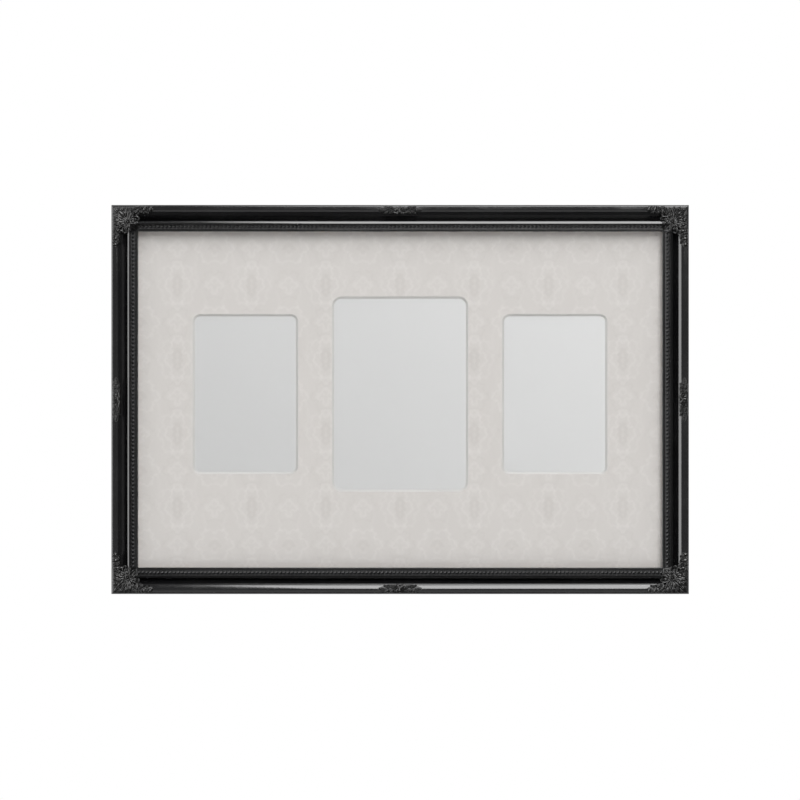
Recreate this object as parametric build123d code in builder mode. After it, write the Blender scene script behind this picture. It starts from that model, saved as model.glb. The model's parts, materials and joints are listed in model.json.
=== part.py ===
"""Collage photo frame with three apertures, for a wall.

A mitred moulding in gloss black carries cast leaf ornaments and a beaded inner edge. It holds a glass
pane, a mount board with three bevelled apertures, three photo cards and a backing board, which turn
buttons keep in. Two hanger straps with swinging rings hang it, and four bumpers keep it off the wall.

Millimetres. X is to the viewer's right, Z is up and Y runs into the wall. The origin is on the wall,
behind the middle of the frame.
"""

from build123d import *

import math
import os

os.makedirs("parts", exist_ok=True)

# Whole frame
frame_width = 530.0
frame_height = 357.0
wall_gap = 4.0  # from the wall to the back of the rails, which is the bumpers' thickness
overrun = 1.0  # how far a cutting shape passes the face it cuts
quarter_turn = 90.0
round_sides = 12  # flat sides that stand for a small round
pin_sides = 8  # flat sides that stand for a shank, its hole or a wire

# Moulding, from the outer edge to the opening
rail_depth = 21.0
ledge_width = 1.0
ledge_height = 17.0
round_radius = 1.2  # of the outer round, from its side to the crest
crest_width = 2.04  # of the flat crest
brow_radius = 7.6  # of the round that falls from the crest towards the opening
brow_sweep = 46.0  # degrees that the brow turns through, which the slope below it keeps
slope_width = 4.05
wall_angle = 78.0  # degrees that the wall behind the slope rises at
wall_width = 0.95
shoulder_radius = 1.0  # of the turn from the wall to the inner ridge
ridge_radius = 6.7
ridge_start = 25.0  # degrees that the inner ridge rises at its shoulder
ridge_lift = 7.0  # degrees that it still rises where the bead channel cuts it
channel_width = 4.6
channel_floor = 13.8  # height of the bead channel above the back
lip_width = 2.2
lip_height = 15.0
lip_round = 0.35
back_chamfer = 0.6
rebate_width = 6.0

# Layers in the rebate, from the back
backing_recess = 0.1
backing_thickness = 3.0
card_thickness = 0.3
mount_thickness = 2.0
glass_thickness = 2.0
pane_clearance = 0.8  # round each pane, on every side

# Mount board
centre_aperture_width = 121.5
centre_aperture_height = 176.0
centre_aperture_radius = 6.8
side_aperture_width = 93.0
side_aperture_height = 143.5
side_aperture_radius = 4.8
side_aperture_offset = 142.5  # from the middle aperture's centre to a side one's
aperture_rise = 5.0  # of the apertures' centres above the frame's
centre_photo_width = 127.0
centre_photo_height = 178.0
side_photo_width = 102.0
side_photo_height = 152.0

# Bead strips
bead_pitch = 3.62
bead_base = 0.7
bead_rise = 1.7
bead_top_width = 1.4

# Corner castings, on the outer corners of the moulding
casting_inset = 0.5  # of a casting from the outer faces of the rails
casting_lift = 0.9  # of a casting's ground above the moulding
casting_root = 12.0  # height above the back from which a casting is built up
corner_setback = 0.9  # of the corner casting from the edge of the opening
block_reach = 25.5  # of the broad part from the corner, along each rail
arm_length = 40.0
arm_width = 9.0
arm_middle = 4.8  # of an arm's line of leaves from the outer face
arm_tip_width = 3.0
ground_sweeps = (25.0, 15.0)  # degrees that a casting's ground follows the brow, before it bridges the valley
leaf_root = 6.0  # how far a leaf runs down into the ground
leaf_belly_share = 0.42  # place of a leaf's greatest width along its length
fan_place = 15.5  # of the fan's root from both outer faces
fan_height = 20.5  # of the fan's root above the back
fan_tilt = 6.0  # degrees that the fan's leaves rise
fan_leaf_angles = (0.0, 19.0, 38.0, 57.0)  # from the diagonal
fan_leaf_lengths = (17.0, 15.4, 13.2, 11.0)
fan_leaf_width = 4.8
fan_leaf_rise = 1.3
inner_leaf_angles = (0.0, 38.0)  # from the diagonal
inner_leaf_lengths = (9.2, 8.6)
inner_leaf_width = 4.4
inner_leaf_rise = 1.0
inner_tilt = 24.0  # degrees that the inner leaves fall
boss_radius = 2.7
boss_rise = 1.6
boss_taper = 28.0
spray_places = (21.0, 26.0, 31.0)  # of the pairs of leaves, from the corner
spray_end_place = 33.0
spray_leaf_length = 7.4
spray_leaf_width = 3.1
spray_leaf_rise = 1.0
spray_angle = 34.0  # between a leaf and the arm
spray_tilt = 13.0  # degrees that the pairs of leaves fall

# Centre castings, on the middle of each rail
centre_length = 42.0
shell_place = 8.4  # of the shell's root from the outer face
shell_height = 21.0
shell_tilt = 4.0
shell_angles = (0.0, 30.0, 60.0)
shell_leaf_length = 7.6
shell_leaf_width = 3.4
shell_leaf_rise = 1.1
centre_spray_places = (6.5, 11.0)
centre_end_place = 13.0

# Mitre fasteners
v_nail_leg = 5.0
v_nail_thickness = 0.8
v_nail_depth = 7.0
v_nail_places = (4.8, 11.4)

# Turn buttons
button_clearance = 0.1
button_thickness = 1.0
button_pivot = 12.0  # from the outer edge of the rail to the pivot
button_head_radius = 4.6
button_tip_radius = 3.2
button_reach = 22.5
button_tab_place = 15.0
button_tab_width = 5.0
button_tab_length = 1.6
button_tab_rise = 1.3
button_play = 0.1  # round the screw that a button turns on
button_spacing = 165.0  # between the turn buttons of a long rail

# Screws
screw_shank_radius = 1.6
screw_head_radius = 3.2
screw_head_rise = 1.5
screw_head_edge = 0.6
screw_length = 10.0
screw_play = 0.05

# Hangers
hanger_drop = 98.0  # from the top of the frame to a ring's hinge
hanger_inset = 10.0  # from the outer edge of the rail to the strap's middle
strap_width = 10.0
strap_length = 15.5
strap_sheet = 0.8
strap_corner = 3.0
strap_fold_share = 0.8  # place where the fold joins the strap, as a share of the barrel's radius
wire_radius = 1.0
ring_play = 0.1
ring_width = 17.0  # between the middles of the ring's two sides
ring_reach = 15.0  # from the hinge to the middle of the wire at the top
ring_shoulder = 6.5  # from the hinge up to where the ring's sides turn over
ring_corner = 3.0
ring_bow_sides = 8  # straight runs that stand for the ring's bow
ring_rest_gap = 0.15  # between the leaning ring and the rail
hanger_screw_place = 9.4  # from the hinge down to the screw

# Wall bumpers
bumper_radius = 6.0
bumper_edge = 0.8
bumper_sides = 14  # flat sides that stand for a bumper's round
bumper_place = 33.0  # from the ends of the top and bottom rails

# Worked out from the sizes above
crest_place = ledge_width + round_radius
round_height = rail_depth - round_radius
crest_end = crest_place + crest_width
brow_height = rail_depth - brow_radius
slope_start = crest_end + brow_radius * math.sin(math.radians(brow_sweep))
slope_end = slope_start + slope_width
slope_fall = slope_width * math.tan(math.radians(brow_sweep))
slope_height = brow_height + brow_radius * math.cos(math.radians(brow_sweep)) - slope_fall
wall_end = slope_end + wall_width
wall_height = slope_height + wall_width * math.tan(math.radians(wall_angle))
shoulder_reach = math.sin(math.radians(wall_angle)) - math.sin(math.radians(ridge_start))
shoulder_rise = math.cos(math.radians(ridge_start)) - math.cos(math.radians(wall_angle))
ridge_reach = math.sin(math.radians(ridge_start)) - math.sin(math.radians(ridge_lift))
ridge_rise = math.cos(math.radians(ridge_lift)) - math.cos(math.radians(ridge_start))
ridge_end = wall_end + shoulder_radius * shoulder_reach + ridge_radius * ridge_reach
ridge_height = wall_height + shoulder_radius * shoulder_rise + ridge_radius * ridge_rise
channel_end = ridge_end + channel_width
face_width = channel_end + lip_width
rebate_wall = face_width - rebate_width
card_level = backing_recess + backing_thickness
mount_level = card_level + card_thickness
glass_level = mount_level + mount_thickness
shelf_height = glass_level + glass_thickness
corner_side = face_width - corner_setback
pane_width = frame_width - 2 * (rebate_wall + pane_clearance)
pane_height = frame_height - 2 * (rebate_wall + pane_clearance)
barrel_radius = wire_radius + ring_play + strap_sheet
ring_lean = math.degrees(math.asin((barrel_radius - wire_radius - ring_rest_gap) / ring_reach))
screw_seat = button_thickness + 2 * button_clearance
flat_turn = 2 * quarter_turn / round_sides  # turns a small round so that a flat side lies on the rail

# The sides of the frame, by the angle of each rail, with its length and the size across the frame
sides = {
    "bottom": (0, frame_width, frame_height),
    "right": (90, frame_height, frame_width),
    "top": (180, frame_width, frame_height),
    "left": (270, frame_height, frame_width),
}
corner_names = {"bottom": "bottom_left", "right": "bottom_right", "top": "top_right", "left": "top_left"}

# The apertures, by their names, with the width, height and corner radius of each and its photo's size
centre_aperture = (0, centre_aperture_width, centre_aperture_height, centre_aperture_radius)
side_aperture = (side_aperture_width, side_aperture_height, side_aperture_radius)
apertures = {
    "left": (-side_aperture_offset, *side_aperture, side_photo_width, side_photo_height),
    "centre": (*centre_aperture, centre_photo_width, centre_photo_height),
    "right": (side_aperture_offset, *side_aperture, side_photo_width, side_photo_height),
}


def side_plane(side, along=0.0):
    """Plane on the back of a rail: X along it, Y from its outer edge to the opening, Z to the front."""
    angle, _, across = sides[side]
    run = Vector(math.cos(math.radians(angle)), 0, math.sin(math.radians(angle)))
    inward = Vector(-run.Z, 0, run.X)
    origin = inward * (-across / 2) + run * along + Vector(0, -wall_gap, 0)
    return Plane(origin=origin, x_dir=run, z_dir=(0, -1, 0))


def corner_plane(side):
    """Plane on the back of the frame at the outer corner where a side's rail starts."""
    return side_plane(side, -sides[side][1] / 2)


def back_plane(side, along, across):
    """Plane on the back of a rail whose X points to the opening and whose Z points to the wall."""
    base = side_plane(side, along)
    return Plane(origin=base.from_local_coords((0, across, 0)), x_dir=base.y_dir, z_dir=(0, 1, 0))


def layer_plane(level, across=0.0, up=0.0):
    """Plane at a height above the rails' back: X to the right, Y up and Z to the front."""
    return Plane(origin=(across, -wall_gap - level, up), x_dir=(1, 0, 0), z_dir=(0, -1, 0))


def hinge_plane(turn):
    """Plane at a hanger's hinge, on the back of a side rail: X along the hinge, Y up, Z to the wall."""
    origin = (turn * (frame_width / 2 - hanger_inset), -wall_gap, frame_height / 2 - hanger_drop)
    return Plane(origin=origin, x_dir=(-1, 0, 0), z_dir=(0, 1, 0))


def save(made, name):
    """Label a finished sub-part and write its STEP file."""
    made.part.label = name
    export_step(made.part, f"parts/{name}.step")


def moulding_section(plane):
    """Section of the rail: X from the outer edge to the opening, Y from the back to the front."""
    with BuildSketch(plane) as section:
        with BuildLine():
            outer_face = Polyline(
                (back_chamfer, 0),
                (0, back_chamfer),
                (0, ledge_height),
                (ledge_width, ledge_height),
                (ledge_width, round_height),
            )
            outer_round = JernArc(outer_face @ 1, (0, 1), round_radius, -quarter_turn)
            crest = Line(outer_round @ 1, (crest_end, rail_depth))
            brow = JernArc(crest @ 1, (1, 0), brow_radius, -brow_sweep)
            valley = Polyline(brow @ 1, (slope_end, slope_height), (wall_end, wall_height))
            shoulder = JernArc(valley @ 1, valley % 1, shoulder_radius, ridge_start - wall_angle)
            ridge = JernArc(shoulder @ 1, shoulder % 1, ridge_radius, ridge_lift - ridge_start)
            channel = Polyline(
                ridge @ 1,
                (ridge_end, channel_floor),
                (channel_end, channel_floor),
                (channel_end, lip_height),
                (face_width - lip_round, lip_height),
            )
            lip_edge = JernArc(channel @ 1, (1, 0), lip_round, -quarter_turn)
            Polyline(
                lip_edge @ 1,
                (face_width, shelf_height),
                (rebate_wall, shelf_height),
                (rebate_wall, 0),
                (back_chamfer, 0),
            )
        make_face()
    return section.sketch


def casting_outline(lift):
    """Points across a casting at a height over the moulding, from the outer face to the opening.

    Each round of the moulding gets the corners where its tangents meet, so that the casting clears it.
    """
    half_round = quarter_turn / 2
    first, second = ground_sweeps
    arcs = (
        (crest_place, round_height, round_radius, 2 * quarter_turn, half_round),
        (crest_place, round_height, round_radius, quarter_turn + half_round, half_round),
        (crest_end, brow_height, brow_radius, quarter_turn, first),
        (crest_end, brow_height, brow_radius, quarter_turn - first, second),
    )
    points = []
    for across, up, radius, start, sweep in arcs:
        reach = (radius + lift) / math.cos(math.radians(sweep / 2))
        middle = math.radians(start - sweep / 2)
        points.append((across + reach * math.cos(middle), up + reach * math.sin(middle)))
    return [*points, (ridge_end, ridge_height + lift), (corner_side, lip_height + lift)]


def casting_underside():
    """Section of the space under a casting, which stands on the moulding and bridges its valley."""
    return [
        (-overrun, casting_root - leaf_root - overrun),
        (-overrun, ledge_height),
        (ledge_width, ledge_height),
        *casting_outline(0),
        (face_width, lip_height),
        (face_width, casting_root - leaf_root - overrun),
    ]


def leaf(length, width, rise):
    """A pointed leaf with a ridge, lying along X from the origin and running down into the ground."""
    belly = length * leaf_belly_share
    with BuildPart() as blade:
        with BuildSketch() as plan:
            Polygon((0, 0), (belly, -width / 2), (length, 0), (belly, width / 2))
        extrude(amount=-leaf_root)
        loft(sections=[plan.face(), Vertex(belly, 0, rise)], ruled=True)
    return blade.part


def leaf_plane(place, height, heading, tilt):
    """Plane on which a leaf lies: rooted at a place and height, turned to a heading and tilted up."""
    turn = math.radians(heading)
    lift = math.radians(tilt)
    along = (math.cos(turn) * math.cos(lift), math.sin(turn) * math.cos(lift), math.sin(lift))
    out = (-math.cos(turn) * math.sin(lift), -math.sin(turn) * math.sin(lift), math.cos(lift))
    return Plane(origin=(place[0], place[1], height), x_dir=along, z_dir=out)


# Mitre fasteners: bent steel strips across each corner's joint, driven in from the back
with BuildPart() as v_nails:
    for side in sides:
        for place in v_nail_places:
            with BuildSketch(corner_plane(side)):
                with Locations((place, place)):
                    Rectangle(v_nail_leg, v_nail_thickness, align=Align.MIN)
                    Rectangle(v_nail_thickness, v_nail_leg, align=Align.MIN)
            extrude(amount=v_nail_depth)
save(v_nails, "mitre_v_nails")

# Where the turn buttons turn and where the hangers' screws go in
button_planes = {}
for side, turn in (("top", -1), ("bottom", 1)):
    for name, step in (("left", -1), ("centre", 0), ("right", 1)):
        place = step * turn * button_spacing
        button_planes[f"{side}_{name}"] = back_plane(side, place, button_pivot)
for side in ("left", "right"):
    button_planes[f"{side}_side"] = back_plane(side, 0, button_pivot)
hinges = {"left": hinge_plane(-1), "right": hinge_plane(1)}
hanger_screw_planes = {}
for name, hinge in hinges.items():
    origin = hinge.from_local_coords((0, -hanger_screw_place, 0))
    hanger_screw_planes[name] = Plane(origin=origin, x_dir=hinge.x_dir, z_dir=hinge.z_dir)

# Rails: the moulding run along each side, cut at 45 degrees, slotted for the nails and drilled
for side, (_, length, _) in sides.items():
    base = side_plane(side)
    drilled = [plane for name, plane in button_planes.items() if name.startswith(side)]
    if side in hanger_screw_planes:
        drilled.append(hanger_screw_planes[side])
    section = moulding_section(Plane(origin=base.origin, x_dir=base.y_dir, z_dir=base.x_dir))
    with BuildPart() as rail:
        extrude(section, amount=length / 2, both=True)
        for end in (-1, 1):
            corner = base.from_local_coords((end * length / 2, 0, 0))
            mitre = Plane(origin=corner, z_dir=base.x_dir * end + base.y_dir)
            split(bisect_by=mitre, keep=Keep.BOTTOM)
        add(v_nails.part, mode=Mode.SUBTRACT)
        with BuildSketch(*drilled):
            RegularPolygon(screw_shank_radius + screw_play, pin_sides)
        extrude(amount=-screw_length, mode=Mode.SUBTRACT)
    save(rail, f"{side}_rail")

# Bead strips: a bar of beads in the channel of each rail, notched between one bead and the next
for side, (_, length, _) in sides.items():
    base = side_plane(side)
    origin = base.from_local_coords((0, (ridge_end + channel_end) / 2, channel_floor))
    strip_length = length - 2 * corner_side
    count = round(strip_length / bead_pitch)
    pitch = strip_length / count
    crown = bead_base + bead_rise
    bead_row = []
    for place in range(count):
        foot = pitch * place - strip_length / 2
        bead_row.append((foot, bead_base))
        bead_row.append((foot + pitch / 2, crown))
    bead_row.append((strip_length / 2, bead_base))
    with BuildPart() as strip:
        with BuildSketch(Plane(origin=origin, x_dir=base.x_dir, z_dir=-base.y_dir)):
            Polygon(*bead_row, (strip_length / 2, 0), (-strip_length / 2, 0))
        extrude(amount=channel_width / 2, both=True)
        with BuildSketch(Plane(origin=origin, x_dir=base.y_dir, z_dir=base.x_dir)):
            Polygon(
                (-channel_width / 2, 0),
                (channel_width / 2, 0),
                (bead_top_width / 2, crown),
                (-bead_top_width / 2, crown),
            )
        extrude(amount=strip_length / 2, both=True, mode=Mode.INTERSECT)
    save(strip, f"{side}_bead_strip")

# Corner casting, drawn at an outer corner: X and Y along its two rails, Z to the front
fan_leaves = [leaf(length, fan_leaf_width, fan_leaf_rise) for length in fan_leaf_lengths]
inner_leaves = [leaf(length, inner_leaf_width, inner_leaf_rise) for length in inner_leaf_lengths]
spray_leaf = leaf(spray_leaf_length, spray_leaf_width, spray_leaf_rise)
crest_height = rail_depth + casting_lift
arm_end = block_reach + (arm_length - block_reach) / 3
diagonal = Plane(origin=(0, 0, 0), x_dir=(0, 0, 1), z_dir=(-1, 1, 0))
outward = 180 + quarter_turn / 2
inward = quarter_turn / 2
with BuildPart() as corner_casting:
    with BuildSketch(Plane.YZ):
        Polygon((casting_inset, casting_root), *casting_outline(casting_lift), (corner_side, casting_root))
    extrude(amount=arm_length)
    for leaves, angles, middle, tilt in (
        (fan_leaves, fan_leaf_angles, outward, fan_tilt),
        (inner_leaves, inner_leaf_angles, inward, -inner_tilt),
    ):
        for blade, angle in zip(leaves, angles):
            turn = -angle if middle == inward else angle
            with Locations(leaf_plane((fan_place, fan_place), fan_height, middle + turn, tilt)):
                add(blade)
    for place in spray_places:
        for turn in (-1, 1):
            with Locations(leaf_plane((place, arm_middle), crest_height, turn * spray_angle, -spray_tilt)):
                add(spray_leaf)
    with Locations(leaf_plane((spray_end_place, arm_middle), crest_height, 0, 0)):
        add(spray_leaf)
    with BuildSketch(Plane.XY):
        Polygon(
            (casting_inset, casting_inset),
            (arm_end, casting_inset),
            (arm_length, arm_middle - arm_tip_width / 2),
            (arm_length, arm_middle + arm_tip_width / 2),
            (arm_end, arm_width),
            (block_reach, arm_width),
            (block_reach, slope_end),
            (corner_side, ridge_end),
            (corner_side, corner_side),
        )
    extrude(amount=rail_depth * 2, mode=Mode.INTERSECT)
    with BuildSketch(Plane.YZ):
        Polygon(*casting_underside())
    extrude(amount=arm_length + overrun, mode=Mode.SUBTRACT)
    split(bisect_by=diagonal, keep=Keep.BOTTOM)
    mirror(about=diagonal)
    with BuildSketch(Plane.XY.offset(fan_height)):
        with Locations((fan_place, fan_place)):
            RegularPolygon(boss_radius, pin_sides)
    extrude(amount=boss_rise, taper=boss_taper)
for side, name in corner_names.items():
    with BuildPart() as ornament:
        with Locations(corner_plane(side)):
            add(corner_casting.part)
    save(ornament, f"{name}_corner_casting")

# Centre casting: a shell between two sprays, drawn with X along its rail and Y from the outer edge
shell_leaf = leaf(shell_leaf_length, shell_leaf_width, shell_leaf_rise)
with BuildPart() as centre_casting:
    with BuildSketch(Plane.YZ):
        Polygon((casting_inset, casting_root), *casting_outline(casting_lift), (corner_side, casting_root))
    extrude(amount=centre_length / 2)
    for angle in shell_angles:
        with Locations(leaf_plane((0, shell_place), shell_height, angle - quarter_turn, shell_tilt)):
            add(shell_leaf)
    for place in centre_spray_places:
        for turn in (-1, 1):
            with Locations(leaf_plane((place, arm_middle), crest_height, turn * spray_angle, -spray_tilt)):
                add(spray_leaf)
    with Locations(leaf_plane((centre_end_place, arm_middle), crest_height, 0, 0)):
        add(spray_leaf)
    with BuildSketch(Plane.XY):
        Polygon(
            (0, casting_inset),
            (centre_length / 4, casting_inset),
            (centre_length / 2, arm_middle - arm_tip_width / 2),
            (centre_length / 2, arm_middle + arm_tip_width / 2),
            (centre_length / 4, arm_width),
            (0, arm_width),
        )
    extrude(amount=rail_depth * 2, mode=Mode.INTERSECT)
    with BuildSketch(Plane.YZ):
        Polygon(*casting_underside())
    extrude(amount=centre_length, both=True, mode=Mode.SUBTRACT)
    split(bisect_by=Plane.YZ, keep=Keep.TOP)
    mirror(about=Plane.YZ)
for side in sides:
    with BuildPart() as ornament:
        with Locations(side_plane(side)):
            add(centre_casting.part)
    save(ornament, f"{side}_centre_casting")

# Glass and backing board
for name, level, thickness in (
    ("glass_pane", glass_level, glass_thickness),
    ("backing_board", backing_recess, backing_thickness),
):
    with BuildPart() as pane:
        with BuildSketch(layer_plane(level)):
            Rectangle(pane_width, pane_height)
        extrude(amount=thickness)
    save(pane, name)

# Mount board, with apertures cut at 45 degrees, so that each is larger on the glass side
with BuildPart() as mount_board:
    with BuildSketch(layer_plane(mount_level)):
        Rectangle(pane_width, pane_height)
    extrude(amount=mount_thickness)
    for across, width, height, radius, _, _ in apertures.values():
        for depth in (0, mount_thickness):
            with BuildSketch(layer_plane(mount_level + depth, across, aperture_rise)):
                RectangleRounded(width + 2 * depth, height + 2 * depth, radius + depth)
        loft(ruled=True, mode=Mode.SUBTRACT)
save(mount_board, "mount_board")

# Photo cards behind the apertures
for name, (across, _, _, _, width, height) in apertures.items():
    with BuildPart() as card:
        with BuildSketch(layer_plane(card_level, across, aperture_rise)):
            Rectangle(width, height)
        extrude(amount=card_thickness)
    save(card, f"{name}_photo_card")

# Turn buttons: flat tongues on the back that swing over the backing board, with a tab for a finger
for name, plane in button_planes.items():
    with BuildPart() as button:
        with BuildSketch(plane.offset(button_clearance)):
            RegularPolygon(button_head_radius, round_sides)
            with Locations((button_reach - button_tip_radius, 0)):
                RegularPolygon(button_tip_radius, round_sides)
            make_hull()
            Circle(screw_shank_radius + button_play, mode=Mode.SUBTRACT)
        extrude(amount=button_thickness)
        with BuildSketch(plane.offset(button_clearance + button_thickness)):
            with Locations((button_tab_place, 0)):
                Rectangle(button_tab_length, button_tab_width)
        extrude(amount=button_tab_rise)
    save(button, f"turn_button_{name}")

# Screw, drawn with its head standing on Z = 0 and its shank below
with BuildPart() as screw:
    with BuildSketch():
        RegularPolygon(screw_shank_radius, pin_sides)
    extrude(amount=-screw_length)
    with BuildSketch():
        RegularPolygon(screw_head_radius, round_sides)
    extrude(amount=screw_head_rise)
    chamfer(screw.faces().sort_by(Axis.Z)[-1].edges(), length=screw_head_rise - screw_head_edge)
with BuildPart() as button_screws:
    with Locations(*[plane.offset(screw_seat) for plane in button_planes.values()]):
        add(screw.part)
save(button_screws, "turn_button_screws")
with BuildPart() as hanger_screws:
    with Locations(*[plane.offset(2 * strap_sheet) for plane in hanger_screw_planes.values()]):
        add(screw.part)
save(hanger_screws, "hanger_screws")

# Hangers: a strap folded double round the bar of a ring, which swings in the fold
for name, hinge in hinges.items():
    fold_end = -strap_fold_share * barrel_radius
    with BuildPart() as strap:
        with BuildSketch(Plane(origin=hinge.origin, x_dir=hinge.y_dir, z_dir=hinge.x_dir)):
            with Locations((0, barrel_radius)):
                RegularPolygon(barrel_radius, round_sides, major_radius=False, rotation=flat_turn)
            with Locations((fold_end, 0)):
                Rectangle(strap_length + fold_end, 2 * strap_sheet, align=(Align.MAX, Align.MIN))
            with Locations((0, barrel_radius)):
                Circle(barrel_radius - strap_sheet, mode=Mode.SUBTRACT)
        extrude(amount=strap_width / 2, both=True)
        chamfer(strap.edges().filter_by(Axis.Y).group_by(Axis.Z)[0], length=strap_corner)
        with BuildSketch(hanger_screw_planes[name]):
            RegularPolygon(screw_shank_radius + screw_play, pin_sides)
        extrude(amount=2 * strap_sheet, mode=Mode.SUBTRACT)
    save(strap, f"{name}_hanger_strap")

    axis_place = hinge.from_local_coords((0, 0, barrel_radius))
    upright = Plane(origin=axis_place, x_dir=hinge.x_dir, z_dir=hinge.z_dir)
    leaning = upright.rotated((ring_lean, 0, 0))
    side_place = ring_width / 2
    bow = []
    for step in range(ring_bow_sides + 1):
        turn = math.pi * step / ring_bow_sides
        height = ring_shoulder + (ring_reach - ring_shoulder) * math.sin(turn)
        bow.append((side_place * math.cos(turn), height))
    with BuildPart() as ring:
        with BuildLine(leaning):
            Polyline(
                (0, 0),
                (side_place - ring_corner, 0),
                (side_place, ring_corner),
                *bow,
                (-side_place, ring_corner),
                (ring_corner - side_place, 0),
                close=True,
            )
        with BuildSketch(Plane(origin=axis_place, z_dir=hinge.x_dir)):
            RegularPolygon(wire_radius, pin_sides)
        sweep(transition=Transition.RIGHT)
    save(ring, f"{name}_hanging_ring")

# Wall bumpers at the four corners
bumper_planes = [
    back_plane(side, end * (frame_width / 2 - bumper_place), rebate_wall / 2)
    for side in ("bottom", "top")
    for end in (-1, 1)
]
with BuildPart() as bumpers:
    with BuildSketch(*bumper_planes):
        RegularPolygon(bumper_radius, bumper_sides)
    extrude(amount=wall_gap)
    chamfer(bumpers.edges().group_by(Axis.Y)[-1], length=bumper_edge)
save(bumpers, "wall_bumpers")
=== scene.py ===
"""Looks of a black collage photo frame with three apertures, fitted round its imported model.

The rails, beads, castings, mount board, turn buttons, screws, hangers and bumpers are built here as fine
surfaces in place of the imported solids. The glass, the photo cards, the backing board and the mitre nails
stay as they are packed and only get their finish. Metres, with X to the viewer's right, Z up and Y into
the wall. Lengths in mm are said to be so.
"""

import json
import logging
import math
from collections.abc import Callable, Sequence
from dataclasses import dataclass
from enum import Enum

import bmesh
import bpy
import numpy as np
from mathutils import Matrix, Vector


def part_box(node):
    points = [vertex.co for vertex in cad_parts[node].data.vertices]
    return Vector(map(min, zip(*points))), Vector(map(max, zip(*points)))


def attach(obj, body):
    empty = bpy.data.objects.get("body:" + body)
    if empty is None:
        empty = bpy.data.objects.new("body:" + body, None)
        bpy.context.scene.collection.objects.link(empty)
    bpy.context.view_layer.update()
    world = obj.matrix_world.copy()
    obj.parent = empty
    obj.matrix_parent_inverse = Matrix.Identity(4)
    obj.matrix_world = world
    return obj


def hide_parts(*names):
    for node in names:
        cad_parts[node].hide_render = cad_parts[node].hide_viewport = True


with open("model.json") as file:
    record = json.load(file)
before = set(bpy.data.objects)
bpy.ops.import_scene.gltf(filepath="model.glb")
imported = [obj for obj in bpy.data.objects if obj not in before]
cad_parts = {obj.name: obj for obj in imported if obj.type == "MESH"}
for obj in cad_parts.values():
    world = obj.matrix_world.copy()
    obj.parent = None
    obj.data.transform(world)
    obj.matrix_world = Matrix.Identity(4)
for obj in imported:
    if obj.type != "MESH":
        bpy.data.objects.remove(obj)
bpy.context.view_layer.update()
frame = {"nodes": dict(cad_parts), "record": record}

Array = np.ndarray
Surface = Callable[[Array, Array], Array]
Pair = tuple[float, float]
Triple = tuple[float, float, float]
Table = tuple[Pair, ...]
Material = bpy.types.Material
Socket = bpy.types.NodeSocket
Piece = bpy.types.Object
log = logging.getLogger("collage_frame")

MM = 0.001
TURN = 2 * math.pi
MERGE = 2e-7  # metres between points that are one


class Slot(Enum):
    """Material slots of the record."""

    MOULDING = "black_moulding"
    CASTING = "black_casting"
    MOUNT = "damask_mount"
    FIXING = "steel_fixing"
    BUTTON = "steel_button"
    HANGER = "steel_hanger"
    RUBBER = "rubber_bumper"


class Mark(Enum):
    """Values that a mesh carries for its finish to read."""

    GRAIN = "grain"
    RELIEF = "relief"


class Throw(Enum):
    """What a lamp lights."""

    GLOSS = "what shines"
    MATT = "matt surfaces"


def arc(centre: Pair, radius: float, start: float, sweep: float, steps: int) -> Array:
    """Points on an arc, centre + radius * (cos, sin), with steps that shorten towards both ends.

    The angle is start + sweep * (1 - cos(pi s)) / 2, so that shading stays flat where a flat follows.

    Args:
        centre: Middle of the circle.
        radius: Its radius.
        start: First angle, in degrees.
        sweep: How far the arc turns, in degrees, positive anticlockwise.
        steps: Number of steps.

    Returns:
        An array of steps + 1 points.
    """
    share = 0.5 - 0.5 * np.cos(np.linspace(0.0, math.pi, steps + 1))
    angles = np.radians(start + sweep * share)
    return np.stack([centre[0] + radius * np.cos(angles), centre[1] + radius * np.sin(angles)], axis=-1)


@dataclass
class Shell:
    """A closed surface as points and faces, with the finish of each face."""

    points: Array
    faces: list[list[int]]
    finish: int = 0

    @staticmethod
    def tube(rings: Array, looped: bool = False) -> "Shell":
        """Join rings of points in order by quads, and cap the two ends.

        Args:
            rings: Points as (ring, round the ring, coordinate).
            looped: Whether the last ring joins the first, which leaves no ends to cap.

        Returns:
            The closed shell.
        """
        count, around = rings.shape[:2]
        row = np.arange(count if looped else count - 1)[:, None]
        after = (row + 1) % count
        step = np.arange(around)
        beside = (step + 1) % around
        row, after = row * around, after * around
        corners = [row + step, row + beside, after + beside, after + step]
        faces = np.stack(corners, axis=-1).reshape(-1, 4).tolist()
        if not looped:
            faces.append(list(range(around)))
            faces.append(list(range((count - 1) * around, count * around)))
        return Shell(rings.reshape(-1, 3), faces)

    def moved(self, place: Callable[[Array], Array]) -> "Shell":
        """The same shell with its points put through a function of place."""
        return Shell(place(self.points), self.faces, self.finish)


def pipe(path: Array, radii: Array, hint: Triple, around: int = 8) -> Array:
    """Rings round a path: point + radius * (side * cos + up * sin), with side = tangent x hint.

    Args:
        path: Points of the middle line.
        radii: Radius at each point.
        hint: Direction that is never along the path.
        around: Points round each ring.

    Returns:
        The rings, as (ring, round the ring, coordinate).
    """
    tangent = np.gradient(path, axis=0)
    tangent /= np.linalg.norm(tangent, axis=1, keepdims=True)
    side = np.cross(tangent, np.array(hint))
    side /= np.linalg.norm(side, axis=1, keepdims=True)
    up = np.cross(side, tangent)
    angles = TURN * np.arange(around) / around
    wave = side[:, None] * np.cos(angles)[None, :, None] + up[:, None] * np.sin(angles)[None, :, None]
    return path[:, None] + radii[:, None, None] * wave


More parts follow.
